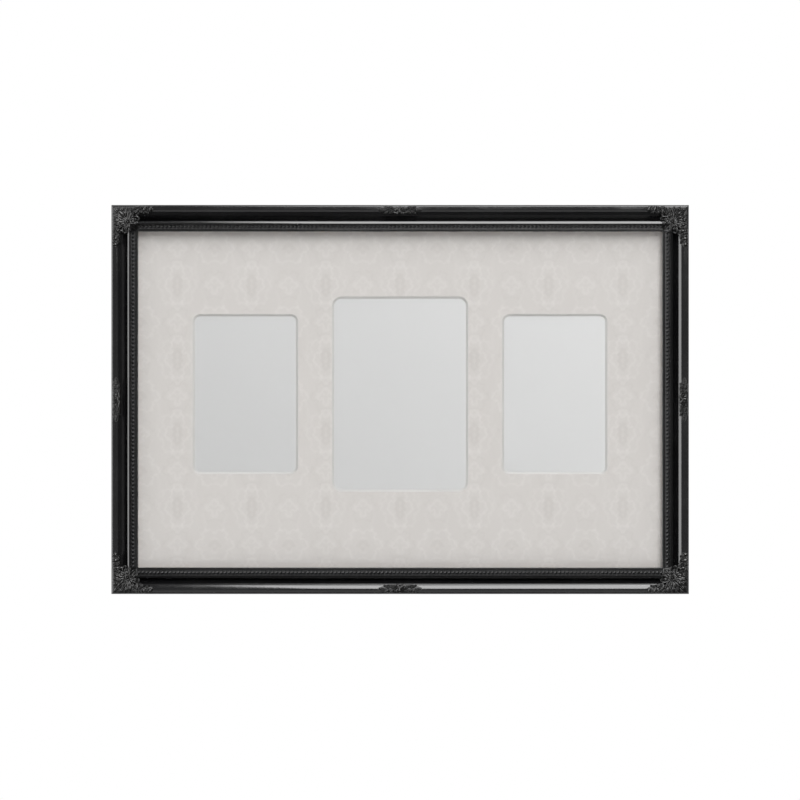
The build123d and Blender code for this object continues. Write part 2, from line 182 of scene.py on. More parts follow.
def revolve(profile: Array, around: int) -> Array:
    """Rings of a turned shape: (radius * cos, radius * sin, height) for each point of a profile.

    Args:
        profile: Points as (radius, height), from one pole or rim to the other.
        around: Points round each ring.

    Returns:
        The rings, as (ring, round the ring, coordinate).
    """
    angles = TURN * np.arange(around) / around
    radius = profile[:, :1]
    height = np.repeat(profile[:, 1:], around, axis=1)
    return np.stack([radius * np.cos(angles), radius * np.sin(angles), height], axis=-1)


def stand(name: str, data: bpy.types.ID) -> Piece:
    """Put a mesh, a lamp or a camera in the scene as an object at the origin."""
    made = bpy.data.objects.new(name, data)
    bpy.context.scene.collection.objects.link(made)
    return made


def make_piece(
    name: str,
    shells: Sequence[Shell],
    slot: Slot,
    finishes: Sequence[Material],
    node: str,
    body: str = "frame",
    crease: float = 40.0,
) -> Piece:
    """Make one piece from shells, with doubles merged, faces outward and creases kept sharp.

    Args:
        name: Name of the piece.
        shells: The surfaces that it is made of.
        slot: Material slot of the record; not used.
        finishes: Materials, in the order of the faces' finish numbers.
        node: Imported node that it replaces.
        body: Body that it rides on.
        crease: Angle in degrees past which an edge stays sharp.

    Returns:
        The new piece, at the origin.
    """
    starts = np.cumsum([0] + [len(shell.points) for shell in shells])
    points = np.concatenate([shell.points for shell in shells])
    faces = []
    for shell, start in zip(shells, starts):
        faces += [[index + start for index in face] for face in shell.faces]
    numbers = np.repeat([shell.finish for shell in shells], [len(shell.faces) for shell in shells])
    mesh = bpy.data.meshes.new(name)
    mesh.from_pydata(points.tolist(), [], faces)
    for finish in finishes:
        mesh.materials.append(finish)
    mesh.polygons.foreach_set("material_index", numbers.astype(np.int32))
    welder = bmesh.new()
    welder.from_mesh(mesh)
    bmesh.ops.remove_doubles(welder, verts=welder.verts, dist=MERGE)
    bmesh.ops.recalc_face_normals(welder, faces=welder.faces)
    welder.to_mesh(mesh)
    welder.free()
    mesh.shade_smooth()
    mesh.set_sharp_from_angle(angle=math.radians(crease))
    made = stand(name, mesh)
    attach(made, body)
    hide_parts(node)
    log.info("%s: %d faces, on %s, for %s", name, len(mesh.polygons), body, node)
    return made


def mesh_points(made: Piece) -> Array:
    """Places of an object's points, as an array of (x, y, z)."""
    flat = np.empty(len(made.data.vertices) * 3)
    made.data.vertices.foreach_get("co", flat)
    return flat.reshape(-1, 3)


def carry(made: Piece, mark: Mark, values: Array) -> None:
    """Give a mesh a value at each point for its finish to read.

    Args:
        made: The object.
        mark: Name of the value.
        values: One number or one vector a point.
    """
    kind = "FLOAT" if values.ndim == 1 else "FLOAT_VECTOR"
    held = made.data.attributes.new(mark.value, kind, "POINT")
    held.data.foreach_set("value" if values.ndim == 1 else "vector", values.astype(np.float32).ravel())


def dress_node(name: str, finish: Material) -> None:
    """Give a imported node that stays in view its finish.

    Args:
        name: The node.
        finish: Its material.
    """
    node = frame["nodes"][name]
    if not node.material_slots:
        node.data.materials.append(finish)
    for slot in node.material_slots:
        slot.material = finish
    log.info("%s: packed shape kept, %s", name, finish.name)


class Bench:
    """A material or a world being put together from nodes."""

    def __init__(self, name: str, world: bool = False) -> None:
        """Start with an output alone.

        Args:
            name: Name of the material or the world.
            world: Whether it is a world.
        """
        self.held = (bpy.data.worlds if world else bpy.data.materials).new(name)
        self.held.use_nodes = True
        self.tree = self.held.node_tree
        self.tree.nodes.clear()
        self.output = self.node("OutputWorld" if world else "OutputMaterial")

    def node(self, kind: str, **settings: object) -> bpy.types.Node:
        """Add a node.

        Args:
            kind: Node type without its "ShaderNode" start.
            settings: Attributes of the node, or constants of the inputs of that name.

        Returns:
            The node.
        """
        made = self.tree.nodes.new("ShaderNode" + kind)
        for key, value in settings.items():
            if hasattr(made, key):
                setattr(made, key, value)
            else:
                made.inputs[key.replace("_", " ")].default_value = value
        return made

    def join(self, source: "Field | Socket", target: Socket) -> None:
        """Link a field or an output to an input."""
        self.tree.links.new(source.socket if isinstance(source, Field) else source, target)

    def close(self, surface: Socket) -> Material | bpy.types.World:
        """Link the surface to the output and hand over what is finished."""
        self.join(surface, self.output.inputs["Surface"])
        return self.held

    def place(self) -> Socket:
        """Object coordinates, in metres."""
        return self.node("TexCoord").outputs["Object"]

    def axes(self) -> tuple["Field", "Field"]:
        """The X and the Z of the object coordinates."""
        split = self.node("SeparateXYZ")
        self.join(self.place(), split.inputs[0])
        return Field(self, split.outputs["X"]), Field(self, split.outputs["Z"])

    def carried(self, mark: Mark) -> bpy.types.Node:
        """Value that the mesh carries under a name."""
        return self.node("Attribute", attribute_name=mark.value)

    def noise(self, vector: Socket, size: float, detail: float = 3.0) -> "Field":
        """Cloudy noise about 0.5.

        Args:
            vector: Where it is read.
            size: Size in metres of its largest lumps.
            detail: Octaves of finer lumps.

        Returns:
            The noise.
        """
        made = self.node("TexNoise", Scale=1.0 / size, Detail=detail, Roughness=0.55)
        self.join(vector, made.inputs["Vector"])
        return Field(self, made.outputs["Fac"])

    def stretched(self, vector: Socket, scale: Triple) -> Socket:
        """Coordinates multiplied by a scale on each axis."""
        mapping = self.node("Mapping", Scale=scale)
        self.join(vector, mapping.inputs["Vector"])
        return mapping.outputs["Vector"]

    def blend(self, amount: "Field", low: Triple, high: Triple) -> Socket:
        """Colour that runs from low to high as a field goes from 0 to 1."""
        mix = self.node("Mix", data_type="RGBA")
        self.join(amount, mix.inputs["Factor"])
        for key, colour in ((6, low), (7, high)):
            mix.inputs[key].default_value = (*colour, 1.0)
        return mix.outputs[2]

    def bump(self, height: "Field", distance: float) -> Socket:
        """Normal bent by a height field, where a field of 1 stands a distance in metres above 0."""
        made = self.node("Bump", Strength=1.0, Distance=distance)
        self.join(height, made.inputs["Height"])
        return made.outputs["Normal"]


class Field:
    """A number that varies over the surface, worked out by maths nodes."""

    def __init__(self, bench: Bench, socket: Socket) -> None:
        """Hold the socket that gives the number."""
        self.bench = bench
        self.socket = socket

    def apply(self, operation: str, *others: "Field | float") -> "Field":
        """Put this field and others through one maths node.

        Args:
            operation: Name of the maths operation.
            others: Its further inputs, fields or plain numbers.

        Returns:
            The result.
        """
        made = self.bench.node("Math", operation=operation)
        for place, value in enumerate((self, *others)):
            if isinstance(value, Field):
                self.bench.join(value, made.inputs[place])
            else:
                made.inputs[place].default_value = value
        return Field(self.bench, made.outputs[0])

    def __add__(self, other: "Field | float") -> "Field":
        """Sum."""
        return self.apply("ADD", other)

    def __sub__(self, other: "Field | float") -> "Field":
        """Difference."""
        return self.apply("SUBTRACT", other)

    def __mul__(self, other: "Field | float") -> "Field":
        """Product."""
        return self.apply("MULTIPLY", other)

    def __abs__(self) -> "Field":
        """Distance from nought."""
        return self.apply("ABSOLUTE")

    def clipped(self) -> "Field":
        """The field kept between 0 and 1."""
        return self.apply("MAXIMUM", 0.0).apply("MINIMUM", 1.0)

    def wave(self, count: float, over: float) -> "Field":
        """Sine of the field with a number of waves over a length."""
        return (self * (TURN * count / over)).apply("SINE")

    def eased(self, start: float, end: float, low: float = 0.0, high: float = 1.0) -> "Field":
        """Smooth step.

        Args:
            start: Value at which the step starts.
            end: Value at which it ends, above start.
            low: Result up to start.
            high: Result from end on.

        Returns:
            The stepped field.
        """
        limits = {"From_Min": start, "From_Max": end, "To_Min": low, "To_Max": high}
        made = self.bench.node("MapRange", interpolation_type="SMOOTHSTEP", **limits)
        self.bench.join(self, made.inputs["Value"])
        return Field(self.bench, made.outputs["Result"])


Recipe = tuple[Field, Field, Field]
Spot = tuple[Field, Field]


@dataclass(frozen=True)
class Finish:
    """An opaque finish that runs between two colours, with a roughness and a bump that vary."""

    name: str = "finish"
    low: Triple = (0.5, 0.5, 0.5)
    high: Triple = (0.5, 0.5, 0.5)
    roughness: Pair = (0.70, 0.86)
    bump: float = 0.02 * MM
    index: float = 1.45
    metallic: float = 0.0

    def recipe(self, bench: Bench, place: Socket) -> Recipe:
        """Say what the finish varies with.

        Args:
            bench: The material that it is put together in.
            place: Object coordinates.

        Returns:
            Shade from the low colour to the high one, roughness, and height of the bump.
        """
        raise NotImplementedError

    def material(self) -> Material:
        """Put the recipe together as a material."""
        bench = Bench(self.name)
        shade, rough, height = self.recipe(bench, bench.place())
        shader = bench.node("BsdfPrincipled", IOR=self.index, Metallic=self.metallic)
        bench.join(bench.blend(shade, self.low, self.high), shader.inputs["Base Color"])
        bench.join(rough, shader.inputs["Roughness"])
        bench.join(bench.bump(height, self.bump), shader.inputs["Normal"])
        return bench.close(shader.outputs["BSDF"])


@dataclass(frozen=True)
class Lacquer(Finish):
    """Gloss black lacquer, a little wavy, with faint dust and slow changes of gloss."""

    name: str = "gloss_black_lacquer"
    low: Triple = (0.0055, 0.0055, 0.006)
    high: Triple = (0.013, 0.013, 0.0133)
    roughness: Pair = (0.06, 0.11)
    bump: float = 0.008 * MM
    index: float = 1.5
    cloud: float = 38.0 * MM
    dust: float = 1.1 * MM
    swell: float = 2.4 * MM

    def recipe(self, bench: Bench, place: Socket) -> Recipe:
        """Colour from dust and clouds, roughness from clouds, height from slow swells."""
        cloud = bench.noise(place, self.cloud, 4.0)
        dust = bench.noise(place, self.dust, 2.0).eased(0.60, 0.78)
        shade = (cloud.eased(0.35, 0.75) * 0.45 + dust * 0.55).clipped()
        rough = (cloud.eased(0.3, 0.7, *self.roughness) + dust * 0.05).clipped()
        return shade, rough, bench.noise(place, self.swell, 1.0)


@dataclass(frozen=True)
class CastBlack(Finish):
    """Black paint on moulded composition, greyer on high spots (rubbed wear, painted highlight), dull in
    hollows.
    """

    name: str = "rubbed_highlit_black_casting"
    low: Triple = (0.005, 0.005, 0.0052)
    high: Triple = (0.014, 0.0137, 0.0133)
    roughness: Pair = (0.34, 0.13)
    bump: float = 0.035 * MM
    index: float = 1.42
    grit: float = 0.9 * MM
    cloud: float = 7.0 * MM

    def recipe(self, bench: Bench, place: Socket) -> Recipe:
        """Rubbed wear and painted highlight from the relief that the mesh carries, broken up by two
        noises.
        """
        relief = Field(bench, bench.carried(Mark.RELIEF).outputs["Fac"])
        grit = bench.noise(place, self.grit)
        cloud = bench.noise(place, self.cloud)
        # painted highlight as well as rubbed wear: the colour runs greyer where the casting stands up
        rubbed_and_highlit = ((relief + cloud * 0.5 + grit * 0.35) - 0.42).eased(0.25, 0.95)
        return rubbed_and_highlit, rubbed_and_highlit.eased(0.0, 1.0, *self.roughness), grit


@dataclass(frozen=True)
class BareWood(Finish):
    """Unpainted pine on the back of the rails, with its grain along each rail."""

    name: str = "bare_pine"
    low: Triple = (0.56, 0.40, 0.24)
    high: Triple = (0.36, 0.22, 0.11)
    roughness: Pair = (0.55, 0.75)
    bump: float = 0.05 * MM
    ring: float = 3.2 * MM
    stretch: float = 0.05
    fibre: float = 0.35 * MM

    def recipe(self, bench: Bench, place: Socket) -> Recipe:
        """Growth rings and fibres as noise drawn out along the grain."""
        carried = bench.carried(Mark.GRAIN).outputs["Vector"]
        grain = bench.stretched(carried, (self.stretch, 1.0, 1.0))
        fibres = bench.noise(grain, self.fibre, 2.0)
        rings = bench.noise(grain, self.ring).eased(0.42, 0.62)
        shade = (rings * 0.7 + fibres * 0.35).clipped()
        return shade, fibres.eased(0.2, 0.8, *self.roughness), fibres


@dataclass(frozen=True)
class Damask(Finish):
    """Pale warm grey paper printed with a faint traditional damask, on a square repeat."""

    name: str = "faint_damask_paper"
    low: Triple = (0.600, 0.572, 0.550)
    high: Triple = (0.690, 0.662, 0.640)
    roughness: Pair = (0.82, 0.62)
    index: float = 1.42
    repeat: float = 68.4 * MM
    row_rise: float = 37.1 * MM
    fibre: float = 0.5 * MM
    cloud: float = 30.0 * MM
    contrast: float = 0.33
    middle: float = 0.47
    curl: float = 0.8 * MM
    ripple: float = 0.7 * MM

    def oval(self, spot: Spot, width: float, height: float) -> Field:
        """1 inside an oval of a width and height in mm, 0 outside: a step on (2x/w)^2 + (2z/h)^2."""
        across, up = spot
        squares = (across * across) * (2 / width / MM) ** 2 + (up * up) * (2 / height / MM) ** 2
        return squares.eased(0.75, 1.3, 1.0, 0.0)

    def leaves(
        self, spot: Spot, stretch: float, size: float, lobes: int, depth: float, line: float
    ) -> Field:
        """1 on a ring of leaf lobes: sqrt(x^2 + (stretch z)^2) = size + depth |cos(lobes angle / 2)|.

        Args:
            spot: Distances from the ornament's middle, sideways and up.
            stretch: Share of the height that counts, so that a smaller one makes a taller ring.
            size: Reach of the notches between the lobes, in mm.
            lobes: Number of lobes.
            depth: How far the lobes stand out, in mm.
            line: Half thickness of the line, in mm.

        Returns:
            The line as a field.
        """
        across, up = spot
        tall = up * stretch
        angle = tall.apply("ARCTAN2", across)
        reach = (across * across + tall * tall).apply("SQRT")
        lobe = abs((angle * (lobes / 2)).apply("COSINE"))
        thick = line * MM
        return abs(reach - (lobe * (depth * MM) + size * MM)).eased(thick * 0.5, thick * 1.7, 1.0, 0.0)

    def spot(self, axes: tuple[Field, Field], column: int, row: int) -> Spot:
        """Folded distances from one of the four ornaments of the repeat, with their edges rippled."""
        half = self.repeat / 2
        across = (axes[0] + column * half).apply("WRAP", half, -half)
        up = (axes[1] + (row * half - self.row_rise)).apply("WRAP", half, -half)
        curl = up.wave(12, self.repeat) * self.curl
        across = abs(across)
        return across + curl, up + across.wave(14, self.repeat) * self.ripple

    def pattern(self, bench: Bench) -> Field:
        """Sum of medallions, outlines, stars and leaf crosses, each on its own place in the repeat.

        Args:
            bench: The material that it is drawn in.

        Returns:
            The pattern, 0 for the ground and up to 1 or down to -1.
        """
        axes = bench.axes()
        places = [self.spot(axes, column, row) for column in (0, 1) for row in (0, 1)]
        tall, star, cross, wide = places
        light = self.leaves(tall, 0.62, 6.5, 5, 4.5, 1.0)
        light = light + self.leaves(tall, 0.80, 13.5, 8, 4.0, 0.9) * 0.7
        light = light + self.leaves(wide, 1.15, 12.5, 6, 5.0, 1.0)
        light = light + self.leaves(wide, 1.0, 4.0, 4, 3.0, 0.9) * 0.8
        dark = self.oval(tall, 9, 21) + self.oval(wide, 15, 9) * 0.8
        veins = self.oval(tall, 2.2, 15) + self.oval(wide, 3, 5)
        for spot in (star, cross):
            light = light + self.leaves(spot, 1.0, 3.0, 4, 4.5, 1.6) * 0.9
            dark = dark + self.leaves(spot, 1.0, 9.0, 6, 4.5, 0.8) * 0.6
        scroll = abs(abs(cross[0]) - (cross[1].wave(1, self.repeat) * (5 * MM) + 13 * MM))
        light = light + scroll.eased(0.6 * MM, 2.2 * MM, 0.35, 0.0)
        return light - dark + veins * 0.8

    def recipe(self, bench: Bench, place: Socket) -> Recipe:
        """Colour from the pattern with paper fibre, and a slight sheen where it is printed."""
        pattern = self.pattern(bench)
        fibre = bench.noise(place, self.fibre)
        cloud = bench.noise(place, self.cloud, 2.0)
        shade = pattern * self.contrast + self.middle + (fibre - 0.5) * 0.35 + (cloud - 0.5) * 0.3
        return shade.clipped(), pattern.eased(-1.0, 1.0, *self.roughness), fibre


@dataclass(frozen=True)
class Card(Finish):
    """Plain card with fibres and, where asked, painted light: a slow change of tone over the whole frame.
    """

    index: float = 1.42
    fibre: float = 0.6 * MM
    painted_light_across: float = 0.0
    painted_light_up: float = 0.0
    middle: float = 0.5

    def recipe(self, bench: Bench, place: Socket) -> Recipe:
        """Tone = middle + painted light rise * place + fibre, between the two colours."""
        across, up = bench.axes()
        fibre = bench.noise(place, self.fibre)
        shade = across * self.painted_light_across + up * self.painted_light_up + (fibre - 0.5) * 0.3 + self.middle
        return shade.clipped(), fibre.eased(0.3, 0.7, *self.roughness), fibre


@dataclass(frozen=True)
class Fibreboard(Finish):
    """Brown hard-pressed board, flecked with short fibres."""

    name: str = "brown_fibreboard"
    low: Triple = (0.33, 0.215, 0.125)
    high: Triple = (0.47, 0.335, 0.215)
    roughness: Pair = (0.5, 0.68)
    bump: float = 0.03 * MM
    lump: float = 4.5 * MM
    fibre: float = 0.8 * MM
    stretch: float = 0.3

    def recipe(self, bench: Bench, place: Socket) -> Recipe:
        """Flecks as noise stretched one way and the other, over slow clouds."""
        flat = bench.noise(bench.stretched(place, (self.stretch, 1.0, 1.0)), self.fibre, 2.0)
        upright = bench.noise(bench.stretched(place, (1.0, 1.0, self.stretch)), self.fibre, 2.0)
        lump = bench.noise(place, self.lump, 4.0)
        flecks = flat.eased(0.45, 0.75) * 0.5 + upright.eased(0.45, 0.75) * 0.4
        shade = (flecks + (lump - 0.5) * 0.8).clipped()
        return shade, lump.eased(0.3, 0.7, *self.roughness), flat + upright


@dataclass(frozen=True)
class Plated(Finish):
    """Metal with a plated or painted surface, scratched and a little uneven."""

    bump: float = 0.012 * MM
    index: float = 1.5
    scratch: float = 0.45 * MM
    patch: float = 3.0 * MM

    def recipe(self, bench: Bench, place: Socket) -> Recipe:
        """Patches and fine scratches change the colour and the roughness."""
        patch = bench.noise(place, self.patch).eased(0.35, 0.7)
        scratch = bench.noise(bench.stretched(place, (0.15, 1.0, 1.0)), self.scratch, 2.0)
        shade = (patch * 0.6 + scratch.eased(0.55, 0.8) * 0.5).clipped()
        return shade, shade.eased(0.0, 1.0, *self.roughness), scratch


@dataclass(frozen=True)
class Rubber(Finish):
    """Soft black rubber, dull and slightly pitted."""

    name: str = "soft_black_rubber"
    low: Triple = (0.022, 0.022, 0.023)
    high: Triple = (0.055, 0.055, 0.056)
    roughness: Pair = (0.62, 0.8)
    bump: float = 0.04 * MM
    pit: float = 0.5 * MM
    bloom: float = 4.0 * MM

    def recipe(self, bench: Bench, place: Socket) -> Recipe:
        """Pits and pale bloom from noise."""
        bloom = bench.noise(place, self.bloom).eased(0.4, 0.75)
        return bloom, bloom.eased(0.0, 1.0, *self.roughness), bench.noise(place, self.pit)


@dataclass(frozen=True)
class PictureGlass:
    """Clear glass as a share of clear sight and of reflection, by the Fresnel law."""

    name: str = "clear_picture_glass"
    tint: Triple = (0.996, 0.997, 0.997)
    index: float = 1.33
    smear: float = 60.0 * MM
    roughness: Pair = (0.03, 0.07)

    def material(self) -> Material:
        """Mix of a clear and a glossy shader, glossy only where light enters, with faint smears."""
        bench = Bench(self.name)
        clear = bench.node("BsdfTransparent", Color=(*self.tint, 1.0))
        glossy = bench.node("BsdfGlossy")
        smear = bench.noise(bench.place(), self.smear)
        bench.join(smear.eased(0.3, 0.7, *self.roughness), glossy.inputs["Roughness"])
        fresnel = Field(bench, bench.node("Fresnel", IOR=self.index).outputs[0])
        leaving = Field(bench, bench.node("NewGeometry").outputs["Backfacing"])
        mix = bench.node("MixShader")
        share = fresnel * (leaving * -1.0 + 1.0)
        for place, source in enumerate((share, clear.outputs[0], glossy.outputs[0])):
            bench.join(source, mix.inputs[place])
        return bench.close(mix.outputs[0])


@dataclass(frozen=True)
class Side:
    """One side of the frame: its rail's angle and length, and the frame's size across it."""

    name: str
    angle: float
    length: float
    size: float
    back: float

    def axes(self) -> Array:
        """Unit vectors along the rail, inward and toward the viewer, one a row."""
        turn = math.radians(self.angle)
        cos, sin = math.cos(turn), math.sin(turn)
        return np.array([[cos, 0.0, sin], [-sin, 0.0, cos], [0.0, -1.0, 0.0]])

    def start(self) -> Array:
        """Middle of the rail's outer edge, at its back."""
        return self.axes()[1] * (-self.size / 2) + np.array([0.0, self.back, 0.0])

    def place(self, local: Array) -> Array:
        """World place of (along from the middle, across from the outer edge, height above the back)."""
        return self.start() + local @ self.axes()

    def from_corner(self, local: Array) -> Array:
        """World place of (along from the rail's first corner, across, height)."""
        return self.place(local - np.array([self.length / 2, 0.0, 0.0]))

    def read(self, points: Array) -> Array:
        """The reverse of place: (along, across, height) of world points."""
        return (points - self.start()) @ self.axes().T


Sides = dict[str, Side]


@dataclass(frozen=True)
class Layout:
    """The frame's outer size and the level of the rails' back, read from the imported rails."""

    width: float
    height: float
    back: float

    @staticmethod
    def read() -> "Layout":
        """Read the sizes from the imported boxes."""
        low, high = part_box("bottom_rail")
        side_low, side_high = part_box("left_rail")
        return Layout(high.x - low.x, side_high.z - side_low.z, high.y)

    def sides(self) -> Sides:
        """The four sides by name."""
        rows = (
            ("bottom", 0.0, self.width, self.height),
            ("right", 90.0, self.height, self.width),
            ("top", 180.0, self.width, self.height),
            ("left", 270.0, self.height, self.width),
        )
        return {name: Side(name, angle, length, size, self.back) for name, angle, length, size in rows}


BUTTON_SEAT = 1.2 * MM  # from the rails' back to the heads of the buttons' screws
CORNERS = {"bottom": "bottom_left", "right": "bottom_right", "top": "top_right", "left": "top_left"}


@dataclass(frozen=True)
class Moulding:
    """The rails: one moulding run along each side and mitred at the corners."""

    ledge_width: float = 1.0 * MM
    ledge_height: float = 17.0 * MM
    depth: float = 21.0 * MM
    round_radius: float = 0.7 * MM
    crest_width: float = 2.54 * MM
    brow_radius: float = 7.6 * MM
    brow_sweep: float = 46.0
    slope_width: float = 4.05 * MM
    wall_angle: float = 78.0
    wall_width: float = 0.955 * MM
    shoulder_radius: float = 1.2 * MM
    shoulder_sweep: float = 53.0
    ridge_radius: float = 4.5 * MM
    ridge_sweep: float = 25.0
    channel_width: float = 4.6 * MM
    channel_floor: float = 13.8 * MM
    lip_width: float = 2.2 * MM
    lip_height: float = 15.0 * MM
    lip_round: float = 0.35 * MM
    shelf: float = 7.4 * MM
    rebate: float = 6.0 * MM
    back_chamfer: float = 0.6 * MM
    edge_round: float = 0.2 * MM
    nail_proud: float = 0.05 * MM
    mitre_gap: float = 0.02 * MM
    arc_steps: int = 12

    def face(self) -> tuple[Array, Array]:
        """Front of the section from the ledge to the lip, and the places of its ridge and channel.

        Round, flat crest, brow and straight slope follow on from one another with the same tangent, and
        so do the steep wall, its shoulder and the ridge behind them.

        Returns:
            The points as (across, height), and (ridge end, channel end).
        """
        steps = self.arc_steps
        fall = math.radians(self.brow_sweep)
        wall = math.radians(self.wall_angle)
        first = self.ledge_width + self.round_radius
        outer = arc((first, self.depth - self.round_radius), self.round_radius, 180, -90, steps)
        brow_start = first + self.crest_width
        radius = self.brow_radius
        brow = arc((brow_start, self.depth - radius), radius, 90, -self.brow_sweep, 2 * steps)
        foot = brow[-1] + self.slope_width * np.array([1.0, -math.tan(fall)])
        top = foot + self.wall_width * np.array([1.0, math.tan(wall)])
        middle = top + self.shoulder_radius * np.array([math.sin(wall), -math.cos(wall)])
        start = 90 + self.wall_angle
        shoulder = arc(tuple(middle), self.shoulder_radius, start, -self.shoulder_sweep, steps)
        tilt = math.radians(self.wall_angle - self.shoulder_sweep)
        middle = shoulder[-1] + self.ridge_radius * np.array([math.sin(tilt), -math.cos(tilt)])
        start -= self.shoulder_sweep
        ridge = arc(tuple(middle), self.ridge_radius, start, -self.ridge_sweep, steps)
        marks = np.array([ridge[-1][0], ridge[-1][0] + self.channel_width])
        return np.concatenate([outer, brow, [foot], shoulder, ridge[1:]]), marks

    def face_width(self) -> float:
        """Width of the section's face, from the outer edge to the opening."""
        return float(self.face()[1][1]) + self.lip_width

    def section(self) -> tuple[Array, Array]:
        """Closed section, anticlockwise from the back, and the finish of each of its edges.

        Returns:
            The points as (across, height), and 0 for a lacquered edge or 1 for bare wood.
        """
        face, (ridge_end, channel_end) = self.face()
        opening = channel_end + self.lip_width
        wall = opening - self.rebate
        small = self.edge_round
        lift = self.nail_proud
        outer = np.array([(self.back_chamfer, lift), (0.0, self.back_chamfer)])
        ledge = arc((small, self.ledge_height - small), small, 180, -90, 6)
        lip_inner = arc((channel_end + small, self.lip_height - small), small, 180, -90, 6)
        soft, level = self.lip_round, self.lip_height
        lip = arc((opening - soft, level - soft), soft, 90, -90, 8)
        channel = np.array([(ridge_end, self.channel_floor), (channel_end, self.channel_floor)])
        flat = np.array([(lip_inner[-1][0] + small / 2, level), (lip[0][0] - small / 2, level)])
        root = np.array([(small * 1.5, self.ledge_height), (self.ledge_width, self.ledge_height)])
        painted = [outer, ledge, root, face, channel, lip_inner, flat, lip]
        bare = np.array([(opening, self.shelf), (wall, self.shelf), (wall, lift)])
        points = np.concatenate([*painted, bare])
        finish = np.zeros(len(points), dtype=int)
        finish[-len(bare):] = 1
        return points, finish

    def build(self, sides: Sides, lacquer: Material, wood: Material) -> None:
        """Run the section along each side, with each end at along = half length - across.

        Args:
            sides: The four sides.
            lacquer: Finish of what shows from the front.
            wood: Finish of the back and the rebate.
        """
        points, finish = self.section()
        for side in sides.values():
            reach = side.length / 2 - points[:, 0] - self.mitre_gap
            rings = [np.column_stack([end * reach, points]) for end in (-1.0, 1.0)]
            shell = Shell.tube(np.stack(rings)).moved(side.place)
            painted = [face for face, kind in zip(shell.faces, finish) if kind == 0]
            bare = [face for face, kind in zip(shell.faces, finish) if kind == 1]
            bare += shell.faces[len(points):]
            pieces = [Shell(shell.points, painted, 0), Shell(shell.points, bare, 1)]
            node = f"{side.name}_rail"
            finishes = (lacquer, wood)
            rail = make_piece(f"{side.name}_moulding", pieces, Slot.MOULDING, finishes, node, crease=30.0)
            carry(rail, Mark.GRAIN, side.read(mesh_points(rail)))


@dataclass(frozen=True)
class BeadStrips:
    """A row of turned beads on a thin strip, in the channel of each rail."""

    corner_setback: float = 0.9 * MM
    pitch: float = 3.62 * MM
    base: float = 0.7 * MM
    rise: float = 1.7 * MM
    half_length: float = 1.74 * MM
    half_width: float = 1.68 * MM
    neck: float = 0.42
    angles: tuple[float, ...] = (32.0, 60.0, 90.0, 120.0, 148.0)
    around: int = 8
    rail_gap: float = 0.05 * MM
    strip_top: float = 0.86  # share of the strip's width

    def row(self, length: float) -> Array:
        """Rings of a string of beads: radius = sin(angle) at along = -cos(angle), pinched between.

        Args:
            length: Length of the row.

        Returns:
            The rings as (ring, round the ring, (along, across, height)) about the string's middle line.
        """
        count = round(length / self.pitch)
        pitch = length / count
        angles = np.radians(self.angles)
        along = np.concatenate([[-pitch / 2], -self.half_length * np.cos(angles)])
        radius = np.concatenate([[self.neck], np.sin(angles)])
        middles = -length / 2 + pitch * (np.arange(count) + 0.5)
        along = np.append((middles[:, None] + along).ravel(), length / 2)
        radius = np.append(np.tile(radius, count), self.neck)
        turns = TURN * (np.arange(self.around) + 0.5) / self.around
        rings = np.empty((len(along), self.around, 3))
        rings[:, :, 0] = along[:, None]
        rings[:, :, 1] = radius[:, None] * self.half_width * np.cos(turns)
        rings[:, :, 2] = radius[:, None] * self.rise * np.sin(turns)
        return rings

    def build(self, sides: Sides, moulding: Moulding, finish: Material) -> None:
        """Set a strip and its beads in each channel.

        Args:
            sides: The four sides.
            moulding: The moulding, for the channel's place.
            finish: The material.
        """
        _, (ridge_end, channel_end) = moulding.face()
        middle = (ridge_end + channel_end) / 2
        for side in sides.values():
            length = side.length - 2 * (moulding.face_width() - self.corner_setback)
            centre = np.array([0.0, middle, moulding.channel_floor + self.base])
            beads = Shell.tube(self.row(length) + centre)
            half = moulding.channel_width / 2 - self.rail_gap
            top = half * self.strip_top
            corners = np.array([(-half, 0.0), (half, 0.0), (top, self.base), (-top, self.base)])
            rings = np.empty((2, len(corners), 3))
            rings[:, :, 0] = np.array([[-length / 2], [length / 2]])
            rings[:, :, 1] = middle + corners[:, 0]
            rings[:, :, 2] = moulding.channel_floor + corners[:, 1]
            shells = [beads.moved(side.place), Shell.tube(rings).moved(side.place)]
            node = f"{side.name}_bead_strip"
            make_piece(f"{side.name}_beading", shells, Slot.MOULDING, (finish,), node, crease=50.0)


